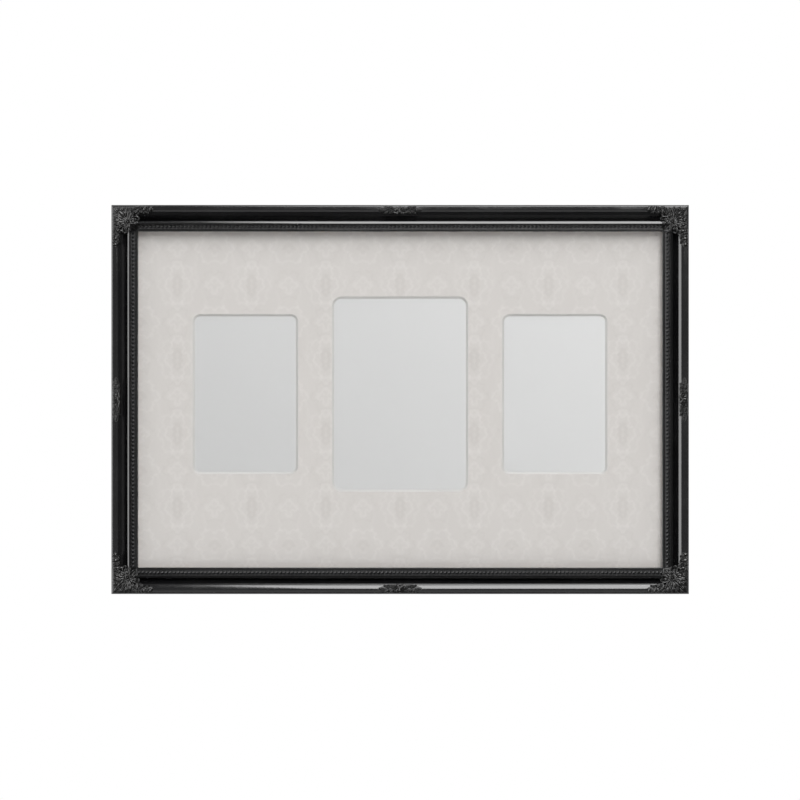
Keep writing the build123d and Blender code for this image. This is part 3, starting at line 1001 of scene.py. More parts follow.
@dataclass(frozen=True)
class Leaf:
    """An acanthus leaf with lobed edges, a grooved middle rib and slanted veins."""

    length: float
    width: float
    rise: float
    lobes: int = 3
    lobe_depth: float = 0.34
    groove: float = 0.42
    vein: float = 0.13
    margin: float = 0.35
    tip_lift: float = 0.25
    bend: float = 0.0
    tuck: float = 0.96  # share of the width under which the leaf closes
    rows: int = 26
    columns: int = 13

    def rings(self, root: Pair, heading: float, top: Surface, bottom: Surface) -> Array:
        """Rings across the leaf, draped on a surface.

        The half width is width / 2 * sin(pi s^0.8)^0.7, notched between lobes by a cosine of s. The
        height over the surface is rise * bow(s) * (1 - (1 - margin) |t|^2.2), less a groove at t = 0,
        with veins as a cosine of s + 0.1 |t|. Below, the ring closes under the ground.

        Args:
            root: Place of the root.
            heading: Direction of the leaf at its root, in degrees.
            top: Height of what the leaf lies on, at a place.
            bottom: Height under which the leaf's underside is hidden.

        Returns:
            The rings as (ring, round the ring, coordinate).
        """
        s = np.linspace(0.0, 1.0, self.rows)
        turn = np.radians(heading + self.bend * s)
        step = self.length / (self.rows - 1)
        line_x = root[0] + step * np.concatenate([[0.0], np.cumsum(np.cos(turn[:-1]))])[:, None]
        line_y = root[1] + step * np.concatenate([[0.0], np.cumsum(np.sin(turn[:-1]))])[:, None]
        open_width = np.sin(np.pi * np.clip(s, 0.0, 1.0) ** 0.8) ** 0.7
        lobe = 0.5 + 0.5 * np.cos(TURN * self.lobes * s)
        notch = 1.0 - self.lobe_depth * lobe * np.sin(np.pi * s) ** 0.3
        half = (self.width / 2 * (open_width * notch + 0.02))[:, None]
        t = np.linspace(-1.0, 1.0, self.columns)
        bow = 0.35 + 0.65 * np.sin(np.pi * s ** 0.7) ** 0.8 + self.tip_lift * s ** 3
        arch = 1.0 - (1.0 - self.margin) * np.abs(t) ** 2.2
        groove = self.groove * np.exp(-((t / 0.16) ** 2))
        phase = TURN * self.lobes * (s[:, None] + 0.10 * np.abs(t))
        vein = -self.vein * np.cos(phase) * np.sin(np.pi * np.abs(t)) ** 0.7
        lift = self.rise * (bow[:, None] * (arch - groove) + vein * np.sin(np.pi * s)[:, None] ** 0.5)
        side_x, side_y = -np.sin(turn)[:, None], np.cos(turn)[:, None]
        x = line_x + side_x * half * t
        y = line_y + side_y * half * t
        upper = np.stack([x, y, top(x, y) + lift], axis=-1)
        under_t = np.array([self.tuck, 0.0, -self.tuck])
        x = line_x + side_x * half * under_t
        y = line_y + side_y * half * under_t
        lower = np.stack([x, y, bottom(x, y)], axis=-1)
        return np.concatenate([upper, lower], axis=1)


@dataclass(frozen=True)
class Relief:
    """Heights across a casting: its ground on the moulding, and the level that its leaves lie on.

    Both are tables of (distance from the outer edge, height above the back) in mm.
    """

    ground: Table = (
        (0.5, 17.3), (0.85, 19.2), (1.3, 20.55), (1.9, 21.2), (2.6, 21.3), (4.6, 21.25), (6.5, 20.9),
        (8.2, 20.1), (9.6, 19.1), (11.2, 17.6), (12.4, 16.7), (13.4, 16.6), (14.0, 18.4), (14.7, 19.7),
        (15.4, 20.2), (16.4, 20.45), (17.3, 20.55), (18.2, 19.6), (19.6, 18.1), (21.2, 16.7),
        (22.2, 16.1), (23.18, 15.7),
    )
    level: Table = (
        (0.5, 18.2), (1.2, 20.0), (2.2, 21.2), (4.6, 21.4), (6.6, 21.2), (8.4, 20.8), (12.0, 20.5),
        (15.0, 20.6), (17.3, 20.7), (20.0, 18.6), (22.2, 16.7), (23.18, 16.0),
    )
    bury: float = 0.5 * MM
    under: float = 0.7 * MM
    # where the castings' rubbed wear and painted highlight begin, and over how much height they grow
    rub_highlight_from: float = 0.1 * MM
    rub_highlight_over: float = 1.3 * MM

    @staticmethod
    def read(across: Array, table: Table) -> Array:
        """Height at a distance from the outer edge, by straight lines between the table's points."""
        knots = np.array(table) * MM
        return np.interp(across, knots[:, 0], knots[:, 1])

    def ground_at(self, across: Array) -> Array:
        """Height of the ground at a distance from the outer edge."""
        return self.read(across, self.ground)

    def level_at(self, across: Array) -> Array:
        """Level of the leaves at a distance from the outer edge."""
        return self.read(across, self.level)

    def surfaces(self, nearest: Surface) -> tuple[Surface, Surface]:
        """What leaves lie between, where a function gives a place's distance from the outer edge.

        Args:
            nearest: The distance at a place: the smaller one in a corner, the second along a rail.

        Returns:
            The level of the leaves, and a surface just under the ground.
        """
        return (
            lambda x, y: self.level_at(nearest(x, y)),
            lambda x, y: self.ground_at(nearest(x, y)) - self.bury,
        )

    def slab(self, x: Array, y: Array, across: Array, drop: Array | float = 0.0) -> Shell:
        """Close a sheet of points that lies on the ground.

        Args:
            x: First coordinate of each point.
            y: Second coordinate.
            across: Distance from the outer edge.
            drop: How far the upper face is let down.

        Returns:
            The closed slab.
        """
        ground = self.ground_at(across)
        upper = np.stack([x, y, ground - drop], axis=-1)
        lower = np.stack([x, y, ground - self.under], axis=-1)
        return Shell.tube(np.concatenate([upper, lower[:, ::-1]], axis=1))

    def cast(
        self, name: str, node: str, shells: Sequence[Shell], sides: Sides, finish: Material
    ) -> None:
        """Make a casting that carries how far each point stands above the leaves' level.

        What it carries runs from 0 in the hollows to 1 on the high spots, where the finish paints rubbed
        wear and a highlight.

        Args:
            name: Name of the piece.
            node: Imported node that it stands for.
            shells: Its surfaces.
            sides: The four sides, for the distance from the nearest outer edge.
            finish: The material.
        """
        casting = make_piece(name, shells, Slot.CASTING, (finish,), node, crease=55.0)
        points = mesh_points(casting)
        reads = [side.read(points) for side in sides.values()]
        across = np.min([read[:, 1] for read in reads], axis=0)
        above = reads[0][:, 2] - self.level_at(across)
        # the finish paints rubbed wear and a highlight where this value is high
        carry(casting, Mark.RELIEF, np.clip((above - self.rub_highlight_from) / self.rub_highlight_over, 0.0, 1.0))


def along_rail(x: Array, y: Array) -> Array:
    """Distance from the outer edge along one rail."""
    return y


@dataclass(frozen=True)
class Spray:
    """Pairs of leaves along a rail's crest, with a single one at the end."""

    places: tuple[float, ...]  # in mm
    length: float
    width: float
    angle: float
    last: Triple  # size of the single leaf, as shares of length, width and rise
    shrink: float = 0.0  # share of a leaf's size, for each mm along the rail
    rise: float = 1.15 * MM
    middle: float = 4.8 * MM
    apart: float = 0.5 * MM
    bend: float = 16.0

    def leaves(self, relief: Relief) -> list[Shell]:
        """Set each pair on its place and the single leaf on the last one.

        Args:
            relief: The casting's heights.

        Returns:
            The leaves.
        """
        along = relief.surfaces(along_rail)
        made = []
        for place in self.places[:-1]:
            for turn in (-1.0, 1.0):
                size = 1.0 - self.shrink * (place - self.places[0])
                leaf = Leaf(self.length * size, self.width * size, self.rise, bend=-turn * self.bend)
                start = (place * MM, self.middle + turn * self.apart)
                made.append(Shell.tube(leaf.rings(start, turn * self.angle, *along)))
        length, width, rise = self.last
        leaf = Leaf(self.length * length, self.width * width, self.rise * rise)
        made.append(Shell.tube(leaf.rings((self.places[-1] * MM, self.middle), 0.0, *along)))
        return made


@dataclass(frozen=True)
class Fan:
    """Leaves that spread from one root, as (angle, length in mm) from its middle."""

    leaves: Table
    width: float
    rise: float
    heading: float
    turn: float
    bend: float

    def shells(self, root: Pair, surfaces: tuple[Surface, Surface]) -> list[Shell]:
        """The leaves of one half, the outermost first.

        Args:
            root: Place that they spread from.
            surfaces: What they lie between.

        Returns:
            The leaves.
        """
        made = []
        for angle, length in self.leaves[::-1]:
            leaf = Leaf(length * MM, self.width, self.rise, bend=self.bend if angle else 0.0)
            made.append(Shell.tube(leaf.rings(root, self.heading + self.turn * angle, *surfaces)))
        return made


@dataclass(frozen=True)
class CornerCasting:
    """Cast ornament on each outer corner: fans of leaves, a rosette, scrolls and two sprays."""

    inset: float = 0.5 * MM
    side: float = 23.18 * MM
    reach: Table = (  # (distance from the outer edge, reach along the rail) in mm
        (0.5, 29.5), (1.6, 34.5), (3.3, 38.4), (4.8, 39.6), (6.3, 38.0), (7.8, 33.0), (9.0, 29.5),
        (10.5, 26.4), (13.4, 25.3), (17.3, 24.9), (20.0, 24.2), (23.18, 23.3),
    )
    root: float = 15.5 * MM
    fans: tuple[Fan, ...] = (
        Fan(
            ((0.0, 18.8), (21.0, 16.2), (41.0, 14.4), (60.0, 13.4), (80.0, 11.5)),
            5.4 * MM, 1.25 * MM, heading=225.0, turn=1.0, bend=-8.0,
        ),
        Fan(
            ((0.0, 10.2), (34.0, 9.6), (66.0, 9.0)),
            5.0 * MM, 1.2 * MM, heading=45.0, turn=-1.0, bend=10.0,
        ),
    )
    rosette_radius: float = 3.0 * MM
    rosette_rise: float = 1.9 * MM
    rosette_foot: float = 2.5 * MM
    rosette_stand: float = 0.25 * MM
    petals: int = 6
    spray: Spray = Spray(
        (20.5, 25.6, 30.2, 34.0), 7.2 * MM, 3.3 * MM, 36.0, last=(0.75, 0.8, 0.8), shrink=0.012
    )
    collars: tuple[tuple[float, float, float, float], ...] = (  # (place, start, end, radius) in mm
        (23.8, 4.2, 11.8, 1.0), (31.0, 1.3, 6.4, 1.0), (36.4, 1.6, 5.6, 0.9),
    )
    collar_seat: float = 0.3 * MM
    collar_sink: float = 0.6 * MM
    collar_bow: float = 0.5 * MM
    rim_drop: float = 0.3 * MM
    scroll_radius: float = 0.95 * MM
    scroll_sink: float = 0.35
    scroll_start: Pair = (17.0 * MM, 13.2 * MM)
    scroll_pace: float = 0.34 * MM

    def plate(self, relief: Relief) -> Shell:
        """Ground of the casting: along = v + share * (reach(v) - v), mirrored past the diagonal.

        Args:
            relief: The casting's heights.

        Returns:
            The closed plate, whose rim runs down into the moulding.
        """
        v = np.linspace(self.inset, self.side, 60)
        share = np.linspace(-1.0, 1.0, 81)
        knots = np.array(self.reach) * MM
        end = np.interp(v, knots[:, 0], knots[:, 1])
        along = v[:, None] + np.abs(share) * (end - v)[:, None]
        across = np.repeat(v[:, None], len(share), axis=1)
        swapped = share < 0
        edge = np.clip((1.0 - np.abs(share)) * 14.0, 0.0, 1.0)
        x = np.where(swapped, across, along)
        y = np.where(swapped, along, across)
        return relief.slab(x, y, across, (1.0 - edge) ** 2 * self.rim_drop)

    def rosette(self, relief: Relief) -> Shell:
        """Rosette: height = rise * (1 - r^2) * petal wave, with a round button in the middle."""
        r = np.concatenate([[0.001], np.linspace(0.08, 1.0, 14)])
        angle = TURN * np.arange(6 * self.petals) / (6 * self.petals)
        wave = 0.5 + 0.5 * np.cos(self.petals * angle)
        radius = r[:, None] * self.rosette_radius * (0.82 + 0.18 * np.sqrt(wave))
        cup = np.sin(np.pi * np.clip(r, 0, 1) ** 0.9)[:, None] * (0.45 + 0.55 * wave)
        button = np.sqrt(np.clip(1.0 - (r / 0.36) ** 2, 0.0, None))[:, None]
        base = float(relief.level_at(np.array(self.root))) + self.rosette_stand
        x = self.root + radius * np.cos(angle)
        y = self.root + radius * np.sin(angle)
        rings = np.stack([x, y, base + self.rosette_rise * np.maximum(0.78 * cup, button)], axis=-1)
        foot = rings[-1:].copy()
        foot[:, :, 2] = base - self.rosette_foot
        return Shell.tube(np.concatenate([rings, foot]))

    def scroll(self, level: Surface) -> Shell:
        """C scroll by the fan: its heading turns ever faster, so that the stem winds into an eye.

        Args:
            level: What it lies on.

        Returns:
            The scroll as a closed round stem.
        """
        s = np.linspace(0.0, 1.0, 70)
        heading = np.radians(-38.0 + 95.0 * s + 430.0 * s ** 3.2)
        pace = (1.0 - 0.80 * s) * self.scroll_pace
        x = self.scroll_start[0] + np.cumsum(np.cos(heading) * pace)
        y = self.scroll_start[1] + np.cumsum(np.sin(heading) * pace)
        swell = np.sin(np.pi * np.clip(s * 1.15 + 0.08, 0, 1)) ** 0.6
        radii = self.scroll_radius * (0.45 + 0.55 * swell) * (1.0 - 0.35 * s)
        path = np.column_stack([x, y, level(x, y) + self.scroll_sink * radii])
        return Shell.tube(pipe(path, radii, (0.0, 0.0, 1.0)))

    def collar(self, relief: Relief, place: float, start: float, end: float, radius: float) -> Shell:
        """Band laid across the arm, thinner towards its ends and 1.5 times as wide as it is thick.

        Args:
            relief: The casting's heights.
            place: Distance from the corner.
            start: Distance of its outer end from the outer edge.
            end: Distance of its inner end from the outer edge.
            radius: Radius at its middle.

        Returns:
            The band as a closed shell.
        """
        y = np.linspace(start, end, 26)
        share = np.linspace(-1.0, 1.0, len(y))
        radii = radius * (0.35 + 0.65 * np.sqrt(1.0 - 0.96 * share ** 2))
        seat = np.maximum(relief.ground_at(y) + self.collar_seat, relief.level_at(y) - self.collar_sink)
        path = np.column_stack([place + self.collar_bow * share ** 2, y, seat + 0.25 * radii])
        rings = pipe(path, radii, (1.0, 0.0, 0.0), 18)
        rings[:, :, 0] += 0.5 * (rings[:, :, 0] - path[:, :1])
        return Shell.tube(rings)

    def build(self, sides: Sides, relief: Relief, finish: Material) -> None:
        """Make one ornament, mirror its half across the diagonal and set it on the four corners.

        Args:
            sides: The four sides.
            relief: The casting's heights.
            finish: The material.
        """
        surfaces = relief.surfaces(np.minimum)
        half = [leaf for fan in self.fans for leaf in fan.shells((self.root, self.root), surfaces)]
        half += [*self.spray.leaves(relief), self.scroll(surfaces[0])]
        half += [self.collar(relief, *(value * MM for value in row)) for row in self.collars]
        mirrored = [shell.moved(lambda points: points[:, [1, 0, 2]]) for shell in half]
        whole = [self.plate(relief), *half, *mirrored, self.rosette(relief)]
        for side in sides.values():
            name = CORNERS[side.name]
            shells = [shell.moved(side.from_corner) for shell in whole]
            relief.cast(f"{name}_casting", f"{name}_corner_casting", shells, sides, finish)


@dataclass(frozen=True)
class CentreCasting:
    """Cast ornament on the middle of each rail: a ribbed shell between two sprays."""

    inset: float = 0.6 * MM
    side: float = 8.9 * MM
    reach: Table = (  # (distance from the outer edge, reach along the rail) in mm
        (0.6, 11.5), (1.8, 16.0), (3.3, 19.6), (4.8, 20.6), (6.3, 19.4), (7.6, 15.5), (8.9, 11.5),
    )
    shell_root: Pair = (0.3 * MM, 8.4 * MM)
    ribs: tuple[float, ...] = (0.0, 26.0, 52.0, 78.0)
    rib: Leaf = Leaf(7.6 * MM, 3.0 * MM, 1.2 * MM, lobes=2, lobe_depth=0.1, groove=-0.2)
    spray: Spray = Spray((5.4, 9.6, 13.2), 6.6 * MM, 3.2 * MM, 38.0, last=(1.0, 0.9, 1.0))

    def plate(self, relief: Relief) -> Shell:
        """Ground of the casting on the crest: along = share * reach(v)."""
        v = np.linspace(self.inset, self.side, 26)
        share = np.linspace(-1.0, 1.0, 61)
        knots = np.array(self.reach) * MM
        along = share * np.interp(v, knots[:, 0], knots[:, 1])[:, None]
        across = np.repeat(v[:, None], len(share), axis=1)
        return relief.slab(along, across, across)

    def build(self, sides: Sides, relief: Relief, finish: Material) -> None:
        """Make one ornament from its mirrored half and set it on the four rails.

        Args:
            sides: The four sides.
            relief: The casting's heights.
            finish: The material.
        """
        surfaces = relief.surfaces(along_rail)
        half = []
        for angle in self.ribs[::-1]:
            half.append(Shell.tube(self.rib.rings(self.shell_root, angle - 90.0, *surfaces)))
        half += self.spray.leaves(relief)
        mirrored = [shell.moved(lambda points: points * np.array([-1.0, 1.0, 1.0])) for shell in half]
        whole = [self.plate(relief), *half, *mirrored]
        for side in sides.values():
            shells = [shell.moved(side.place) for shell in whole]
            name = f"{side.name}_middle_casting"
            relief.cast(name, f"{side.name}_centre_casting", shells, sides, finish)


@dataclass(frozen=True)
class Aperture:
    """One opening of the mount board, at the back of the board."""

    middle: float
    width: float
    height: float
    radius: float

    def loop(self, grow: float, rise: float, steps: int) -> Array:
        """Rounded rectangle, from the middle of one corner's arc round to the same place.

        Args:
            grow: How far it stands outside the opening.
            rise: Height of the opening's middle.
            steps: Steps over half a corner, and over a straight side.

        Returns:
            Points as (x, z), with three runs of steps a side: half arc, straight, half arc.
        """
        radius = self.radius + grow
        flat_x = self.width / 2 - self.radius
        flat_z = self.height / 2 - self.radius
        corners = (
            (-flat_x, -flat_z, 225.0), (flat_x, -flat_z, 315.0),
            (flat_x, flat_z, 45.0), (-flat_x, flat_z, 135.0),
        )
        parts = []
        for place, (x, z, angle) in enumerate(corners):
            far_x, far_z, far_angle = corners[(place + 1) % 4]
            first = arc((x, z), radius, angle, 45.0, steps)
            last = arc((far_x, far_z), radius, far_angle - 45.0, 45.0, steps)
            straight = first[-1] + np.linspace(0.0, 1.0, steps + 1)[1:-1, None] * (last[0] - first[-1])
            parts.append(np.concatenate([first, straight, last[:-1]]))
        return np.concatenate(parts) + np.array([self.middle, rise])


@dataclass(frozen=True)
class MountBoard:
    """The board with three bevelled apertures: a printed face, and bevels of white core."""

    centre: Aperture = Aperture(0.0, 121.5 * MM, 176.0 * MM, 6.8 * MM)
    left: Aperture = Aperture(-142.5 * MM, 93.0 * MM, 143.5 * MM, 4.8 * MM)
    right: Aperture = Aperture(142.5 * MM, 93.0 * MM, 143.5 * MM, 4.8 * MM)
    rise: float = 5.0 * MM
    glass_gap: float = 0.05 * MM
    steps: int = 8

    def build(self, paper: Material, core: Material) -> None:
        """Join loops from the board's edge over its face, down each bevel and over its back.

        Args:
            paper: Finish of the face.
            core: Finish of the bevels, the edge and the back.
        """
        low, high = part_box("mount_board")
        thickness = high.y - low.y
        gap = (self.centre.width / 2, self.right.middle - self.right.width / 2)
        split = sum(gap) / 2
        bounds = ((low.x, -split, self.left), (-split, split, self.centre), (split, high.x, self.right))
        shells = []
        for start, end, aperture in bounds:
            rim = aperture.loop(thickness, self.rise, self.steps)
            count = len(rim) // 4
            share = np.arange(count)[:, None] / count
            corners = np.array([(start, low.z), (end, low.z), (end, high.z), (start, high.z)])
            sides = [corners[k] + share * (corners[(k + 1) % 4] - corners[k]) for k in range(4)]
            edge = np.concatenate(sides)
            front = low.y + self.glass_gap
            inner = aperture.loop(0.0, self.rise, self.steps)
            loops = ((edge, front), (rim, front), (inner, high.y), (edge, high.y))
            rings = np.stack([np.insert(xz, 1, y, axis=1) for xz, y in loops])
            tube = Shell.tube(rings)
            strips = tube.faces[:-2]
            shells.append(Shell(tube.points, strips[: len(rim)], 0))
            shells.append(Shell(tube.points, strips[len(rim):], 1))
            wall = []
            for place in range(len(edge)):
                after = (place + 1) % len(edge)
                joint = (abs(edge[place][0]) < high.x - MM) and (abs(edge[after][0]) < high.x - MM)
                if not (joint and edge[place][0] == edge[after][0]):
                    wall.append([place, after, 3 * len(edge) + after, 3 * len(edge) + place])
            shells.append(Shell(tube.points, wall, 1))
        make_piece("damask_mount_board", shells, Slot.MOUNT, (paper, core), "mount_board", crease=25.0)


def hinges(kind: str) -> list[tuple[str, Array]]:
    """Moving body and place of each joint whose body is of a kind."""
    joints = frame["record"]["behaviour"]["joints"]
    return [(joint["child"], np.array(joint["pos_m"])) for joint in joints if kind in joint["child"]]


@dataclass(frozen=True)
class TurnButtons:
    """Flat steel tongues that turn on screws and keep the backing board in."""

    clearance: float = 0.1 * MM
    thickness: float = 1.0 * MM
    head: float = 4.6 * MM
    tip: float = 3.2 * MM
    reach: float = 22.5 * MM
    hole: float = 1.7 * MM
    bevel: float = 0.22 * MM
    tab_place: float = 15.0 * MM
    tab_length: float = 5.0 * MM
    tab_width: float = 1.6 * MM
    tab_rise: float = 1.3 * MM
    tab_sink: float = 0.3 * MM

    def outline(self, inset: float) -> Array:
        """Outline of two rounds and their common tangents, drawn in by an inset.

        Args:
            inset: How far inside the full outline it lies.

        Returns:
            Points as (towards the opening, sideways).
        """
        far = self.reach - self.tip
        lean = math.degrees(math.acos((self.head - self.tip) / far))
        head = arc((0.0, 0.0), self.head - inset, lean, 360 - 2 * lean, 24)
        tip = arc((far, 0.0), self.tip - inset, -lean, 2 * lean, 16)
        flat = np.linspace(0.0, 1.0, 7)[1:-1, None]
        lower = head[-1] + flat * (tip[0] - head[-1])
        upper = tip[-1] + flat * (head[0] - tip[-1])
        return np.concatenate([head, lower, tip, upper])

    def plate(self) -> Shell:
        """The tongue: loops from the hole over one face, round the edge and back over the other."""
        rim = self.outline(0.0)
        angle = np.arctan2(rim[:, 1], rim[:, 0])
        hole = self.hole * np.column_stack([np.cos(angle), np.sin(angle)])
        soft = self.outline(self.bevel)
        low, high = self.clearance, self.clearance + self.thickness
        levels = (
            (hole, low), (hole, high), (hole + (soft - hole) * 0.12, high), (soft, high),
            (rim, high - self.bevel), (rim, low + self.bevel), (soft, low),
        )
        rings = np.stack([np.column_stack([loop, np.full(len(loop), level)]) for loop, level in levels])
        return Shell.tube(rings, looped=True)

    def tab(self) -> Shell:
        """Pressed rib for a finger: height = rise * sqrt(1 - across^2) with rounded ends."""
        s = np.linspace(-1.0, 1.0, 15)
        angle = np.linspace(0.0, math.pi, 9)
        half = np.sqrt(np.clip(1.0 - np.clip((np.abs(s) - 0.7) / 0.3, 0.0, 1.0) ** 2, 0.0, 1.0))
        top = self.clearance + self.thickness
        x = self.tab_place + self.tab_width / 2 * half[:, None] * np.cos(angle)
        y = np.repeat(self.tab_length / 2 * s[:, None], len(angle), axis=1)
        z = top + self.tab_rise * half[:, None] * np.sin(angle)
        foot = np.full((len(s), 2), top - self.tab_sink)
        under = np.stack([x[:, [-1, 0]], y[:, [-1, 0]], foot], axis=-1)
        return Shell.tube(np.concatenate([np.stack([x, y, z], axis=-1), under], axis=1))

    def build(self, back: float, finish: Material) -> list[Array]:
        """Make a button at each joint that turns one.

        Args:
            back: Level of the rails' back.
            finish: The material.

        Returns:
            Pivot of each button, for the screws.
        """
        shells = [self.plate(), self.tab()]
        inward = {"top": (0, 0, -1), "bottom": (0, 0, 1), "left": (1, 0, 0), "right": (-1, 0, 0)}
        pivots = []
        for body, place in hinges("turn_button"):
            toward = np.array(inward[body.removeprefix("turn_button_").split("_")[0]], dtype=float)
            pivot = np.array([place[0], back, place[2]])
            pivots.append(pivot)
            axes = np.stack([toward, np.cross((0.0, 1.0, 0.0), toward), np.array([0.0, 1.0, 0.0])])
            placed = [shell.moved(lambda points: pivot + points @ axes) for shell in shells]
            name = body.replace("turn_button", "button")
            make_piece(name, placed, Slot.BUTTON, (finish,), body, body)
        return pivots


@dataclass(frozen=True)
class Screws:
    """Round-headed screws with a cross recess."""

    shank: float = 1.6 * MM
    head: float = 3.2 * MM
    rise: float = 1.5 * MM
    length: float = 10.0 * MM
    arm: float = 1.9 * MM
    arm_width: float = 0.42 * MM
    recess: float = 0.85 * MM
    rim: float = 0.12 * MM
    slot_soft: float = 0.14 * MM
    end_soft: float = 0.6 * MM
    around: int = 56

    def one(self) -> Shell:
        """A screw on z = 0: shank, flat underside, domed head, less a cross of two tapered slots.

        The dome is rim + (rise - rim) (1 - r^2)^0.4. The slots take recess off it where a point lies
        within arm_width of either arm and inside the arm's length.

        Returns:
            The closed screw.
        """
        shank = np.array([
            (0.02 * MM, -self.length), (self.shank * 0.55, -self.length * 0.86),
            (self.shank, -self.length * 0.7), (self.shank, 0.0),
            (self.head * 0.97, 0.0), (self.head, self.rim),
        ])
        lower = revolve(shank, self.around)
        r = np.concatenate([np.linspace(0.985, 0.7, 6), np.linspace(0.66, 0.02, 22)])
        angle = TURN * np.arange(self.around) / self.around
        x = self.head * r[:, None] * np.cos(angle)
        y = self.head * r[:, None] * np.sin(angle)
        dome = self.rim + (self.rise - self.rim) * (1.0 - r ** 2)[:, None] ** 0.4
        near = np.minimum(np.abs(x), np.abs(y))
        far = np.maximum(np.abs(x), np.abs(y))
        wall = np.clip((self.arm_width - near) / self.slot_soft + 0.5, 0.0, 1.0)
        end = np.clip((self.arm - far) / self.end_soft, 0.0, 1.0)
        upper = np.stack([x, y, dome - self.recess * wall * end], axis=-1)
        return Shell.tube(np.concatenate([lower, upper]))

    def build(
        self, name: str, node: str, seats: Sequence[tuple[Array, float]], finish: Material
    ) -> None:
        """Set a screw at each seat, each turned a little differently.

        Args:
            name: Name of the piece.
            node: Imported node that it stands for.
            seats: Place of each screw on the rails' back, and height of its seat.
            finish: The material.
        """
        screw = self.one()
        shells = []
        for place, (pivot, seat) in enumerate(seats):
            turn = 0.7 * place + 0.3
            cos, sin = math.cos(turn), math.sin(turn)
            axes = np.array([[cos, 0.0, sin], [sin, 0.0, -cos], [0.0, 1.0, 0.0]])
            start = pivot + np.array([0.0, seat, 0.0])
            shells.append(screw.moved(lambda points: start + points @ axes))
        make_piece(name, shells, Slot.FIXING, (finish,), node)


@dataclass(frozen=True)
class Hangers:
    """Straps of folded steel with D rings that swing in their folds."""

    strap_width: float = 10.0 * MM
    strap_length: float = 15.5 * MM
    sheet: float = 0.8 * MM
    corner: float = 3.0 * MM
    barrel: float = 1.9 * MM
    wire: float = 1.0 * MM
    ring_width: float = 17.0 * MM
    ring_reach: float = 15.0 * MM
    shoulder: float = 6.5 * MM
    ring_corner: float = 3.0 * MM
    rest_gap: float = 0.15 * MM
    screw_drop: float = 9.4 * MM
    fold_end: float = 2.4 * MM
    soft: float = 0.12 * MM

    def strap(self) -> Shell:
        """Sheet carried along its folded path, with rounded lower corners.

        The path runs up the rail, round the barrel and down over itself. The half width is
        width / 2 - corner + sqrt(corner^2 - (corner - d)^2) at a distance d under the corner's size.

        Returns:
            The strap, as (sideways, up, from the rail's back).
        """
        half_sheet = self.sheet / 2
        length = self.strap_length
        straight = np.linspace(self.corner, length, 8)[1:]
        up = np.append(np.linspace(0.0, self.corner, 10), straight) - length
        first = np.column_stack([up, np.full(len(up), half_sheet)])
        barrel = arc((0.0, self.barrel), self.barrel - half_sheet, -90.0, 285.0, 30)[1:]
        down = np.column_stack([up[::-1][1:], np.full(len(up) - 1, 3 * half_sheet)])
        down = down[down[:, 0] < -self.fold_end]
        path = np.concatenate([first, barrel, down])
        inset = self.corner - np.clip(path[:, 0] + length, 0.0, self.corner)
        half = self.strap_width / 2 - self.corner + np.sqrt(self.corner ** 2 - inset ** 2)
        tangent = np.gradient(path, axis=0)
        tangent /= np.linalg.norm(tangent, axis=1, keepdims=True)
        normal = np.column_stack([-tangent[:, 1], tangent[:, 0]])
        loop = ((-1.0, -1.0), (1.0, -1.0), (1.0, 1.0), (-1.0, 1.0))
        rings = np.empty((len(path), 8, 3))
        for corner, (across, through) in enumerate(loop):
            for step in range(2):
                flip = step if corner % 2 == 0 else 1 - step
                wide = half - (self.soft if flip else 0.0)
                thick = half_sheet * 0.98 - (0.0 if flip else self.soft)
                rings[:, 2 * corner + step, 0] = across * wide
                rings[:, 2 * corner + step, 1:] = path + normal * (through * thick)
        return Shell.tube(rings)

    def ring(self) -> Shell:
        """Round wire carried along a D: a bar, two corners, two short sides and a half oval.

        Returns:
            The ring about its hinge, as (sideways, up, from the hinge towards the wall).
        """
        half = self.ring_width / 2
        corner = self.ring_corner
        bar = np.column_stack([np.linspace(corner - half, half - corner, 9), np.zeros(9)])
        first = arc((half - corner, corner), corner, -90.0, 90.0, 8)[1:]
        angle = np.linspace(0.0, math.pi, 33)
        rise = self.ring_reach - self.shoulder
        bow = np.column_stack([half * np.cos(angle), self.shoulder + rise * np.sin(angle)])
        last = arc((corner - half, corner), corner, 180.0, 90.0, 8)[:-1]
        line = np.concatenate([bar, first, bow, last])
        ahead = np.roll(line, -1, axis=0) - np.roll(line, 1, axis=0)
        ahead /= np.linalg.norm(ahead, axis=1, keepdims=True)
        out = np.column_stack([ahead[:, 1], -ahead[:, 0]])
        turns = TURN * np.arange(12) / 12
        rings = np.empty((len(line), 12, 3))
        rings[:, :, :2] = line[:, None] + self.wire * out[:, None] * np.cos(turns)[None, :, None]
        rings[:, :, 2] = self.wire * np.sin(turns)
        return Shell.tube(rings, looped=True)

    def build(self, back: float, finish: Material) -> list[tuple[Array, float]]:
        """Set a strap and a ring at each hinge.

        Args:
            back: Level of the rails' back.
            finish: The material.

        Returns:
            Seat of each hanger's screw.
        """
        seats = []
        lean = math.asin((self.barrel - self.wire - self.rest_gap) / self.ring_reach)
        cos, sin = math.cos(lean), math.sin(lean)
        for body, hinge in hinges("hanging_ring"):
            name = body.split("_")[0]
            foot = np.array([hinge[0], back, hinge[2]])
            upright = np.array([[-1.0, 0.0, 0.0], [0.0, 0.0, 1.0], [0.0, 1.0, 0.0]])
            leaning = np.array([[-1.0, 0.0, 0.0], [0.0, -sin, cos], [0.0, cos, sin]])
            folded = self.strap().moved(lambda points: foot + points @ upright)
            node = f"{name}_hanger_strap"
            make_piece(f"{name}_strap", [folded], Slot.HANGER, (finish,), node)
            bent = self.ring().moved(lambda points: hinge + points @ leaning)
            make_piece(f"{name}_ring", [bent], Slot.HANGER, (finish,), body, body, crease=60.0)
            seats.append((foot - np.array([0.0, 0.0, self.screw_drop]), 2 * self.sheet))
        return seats


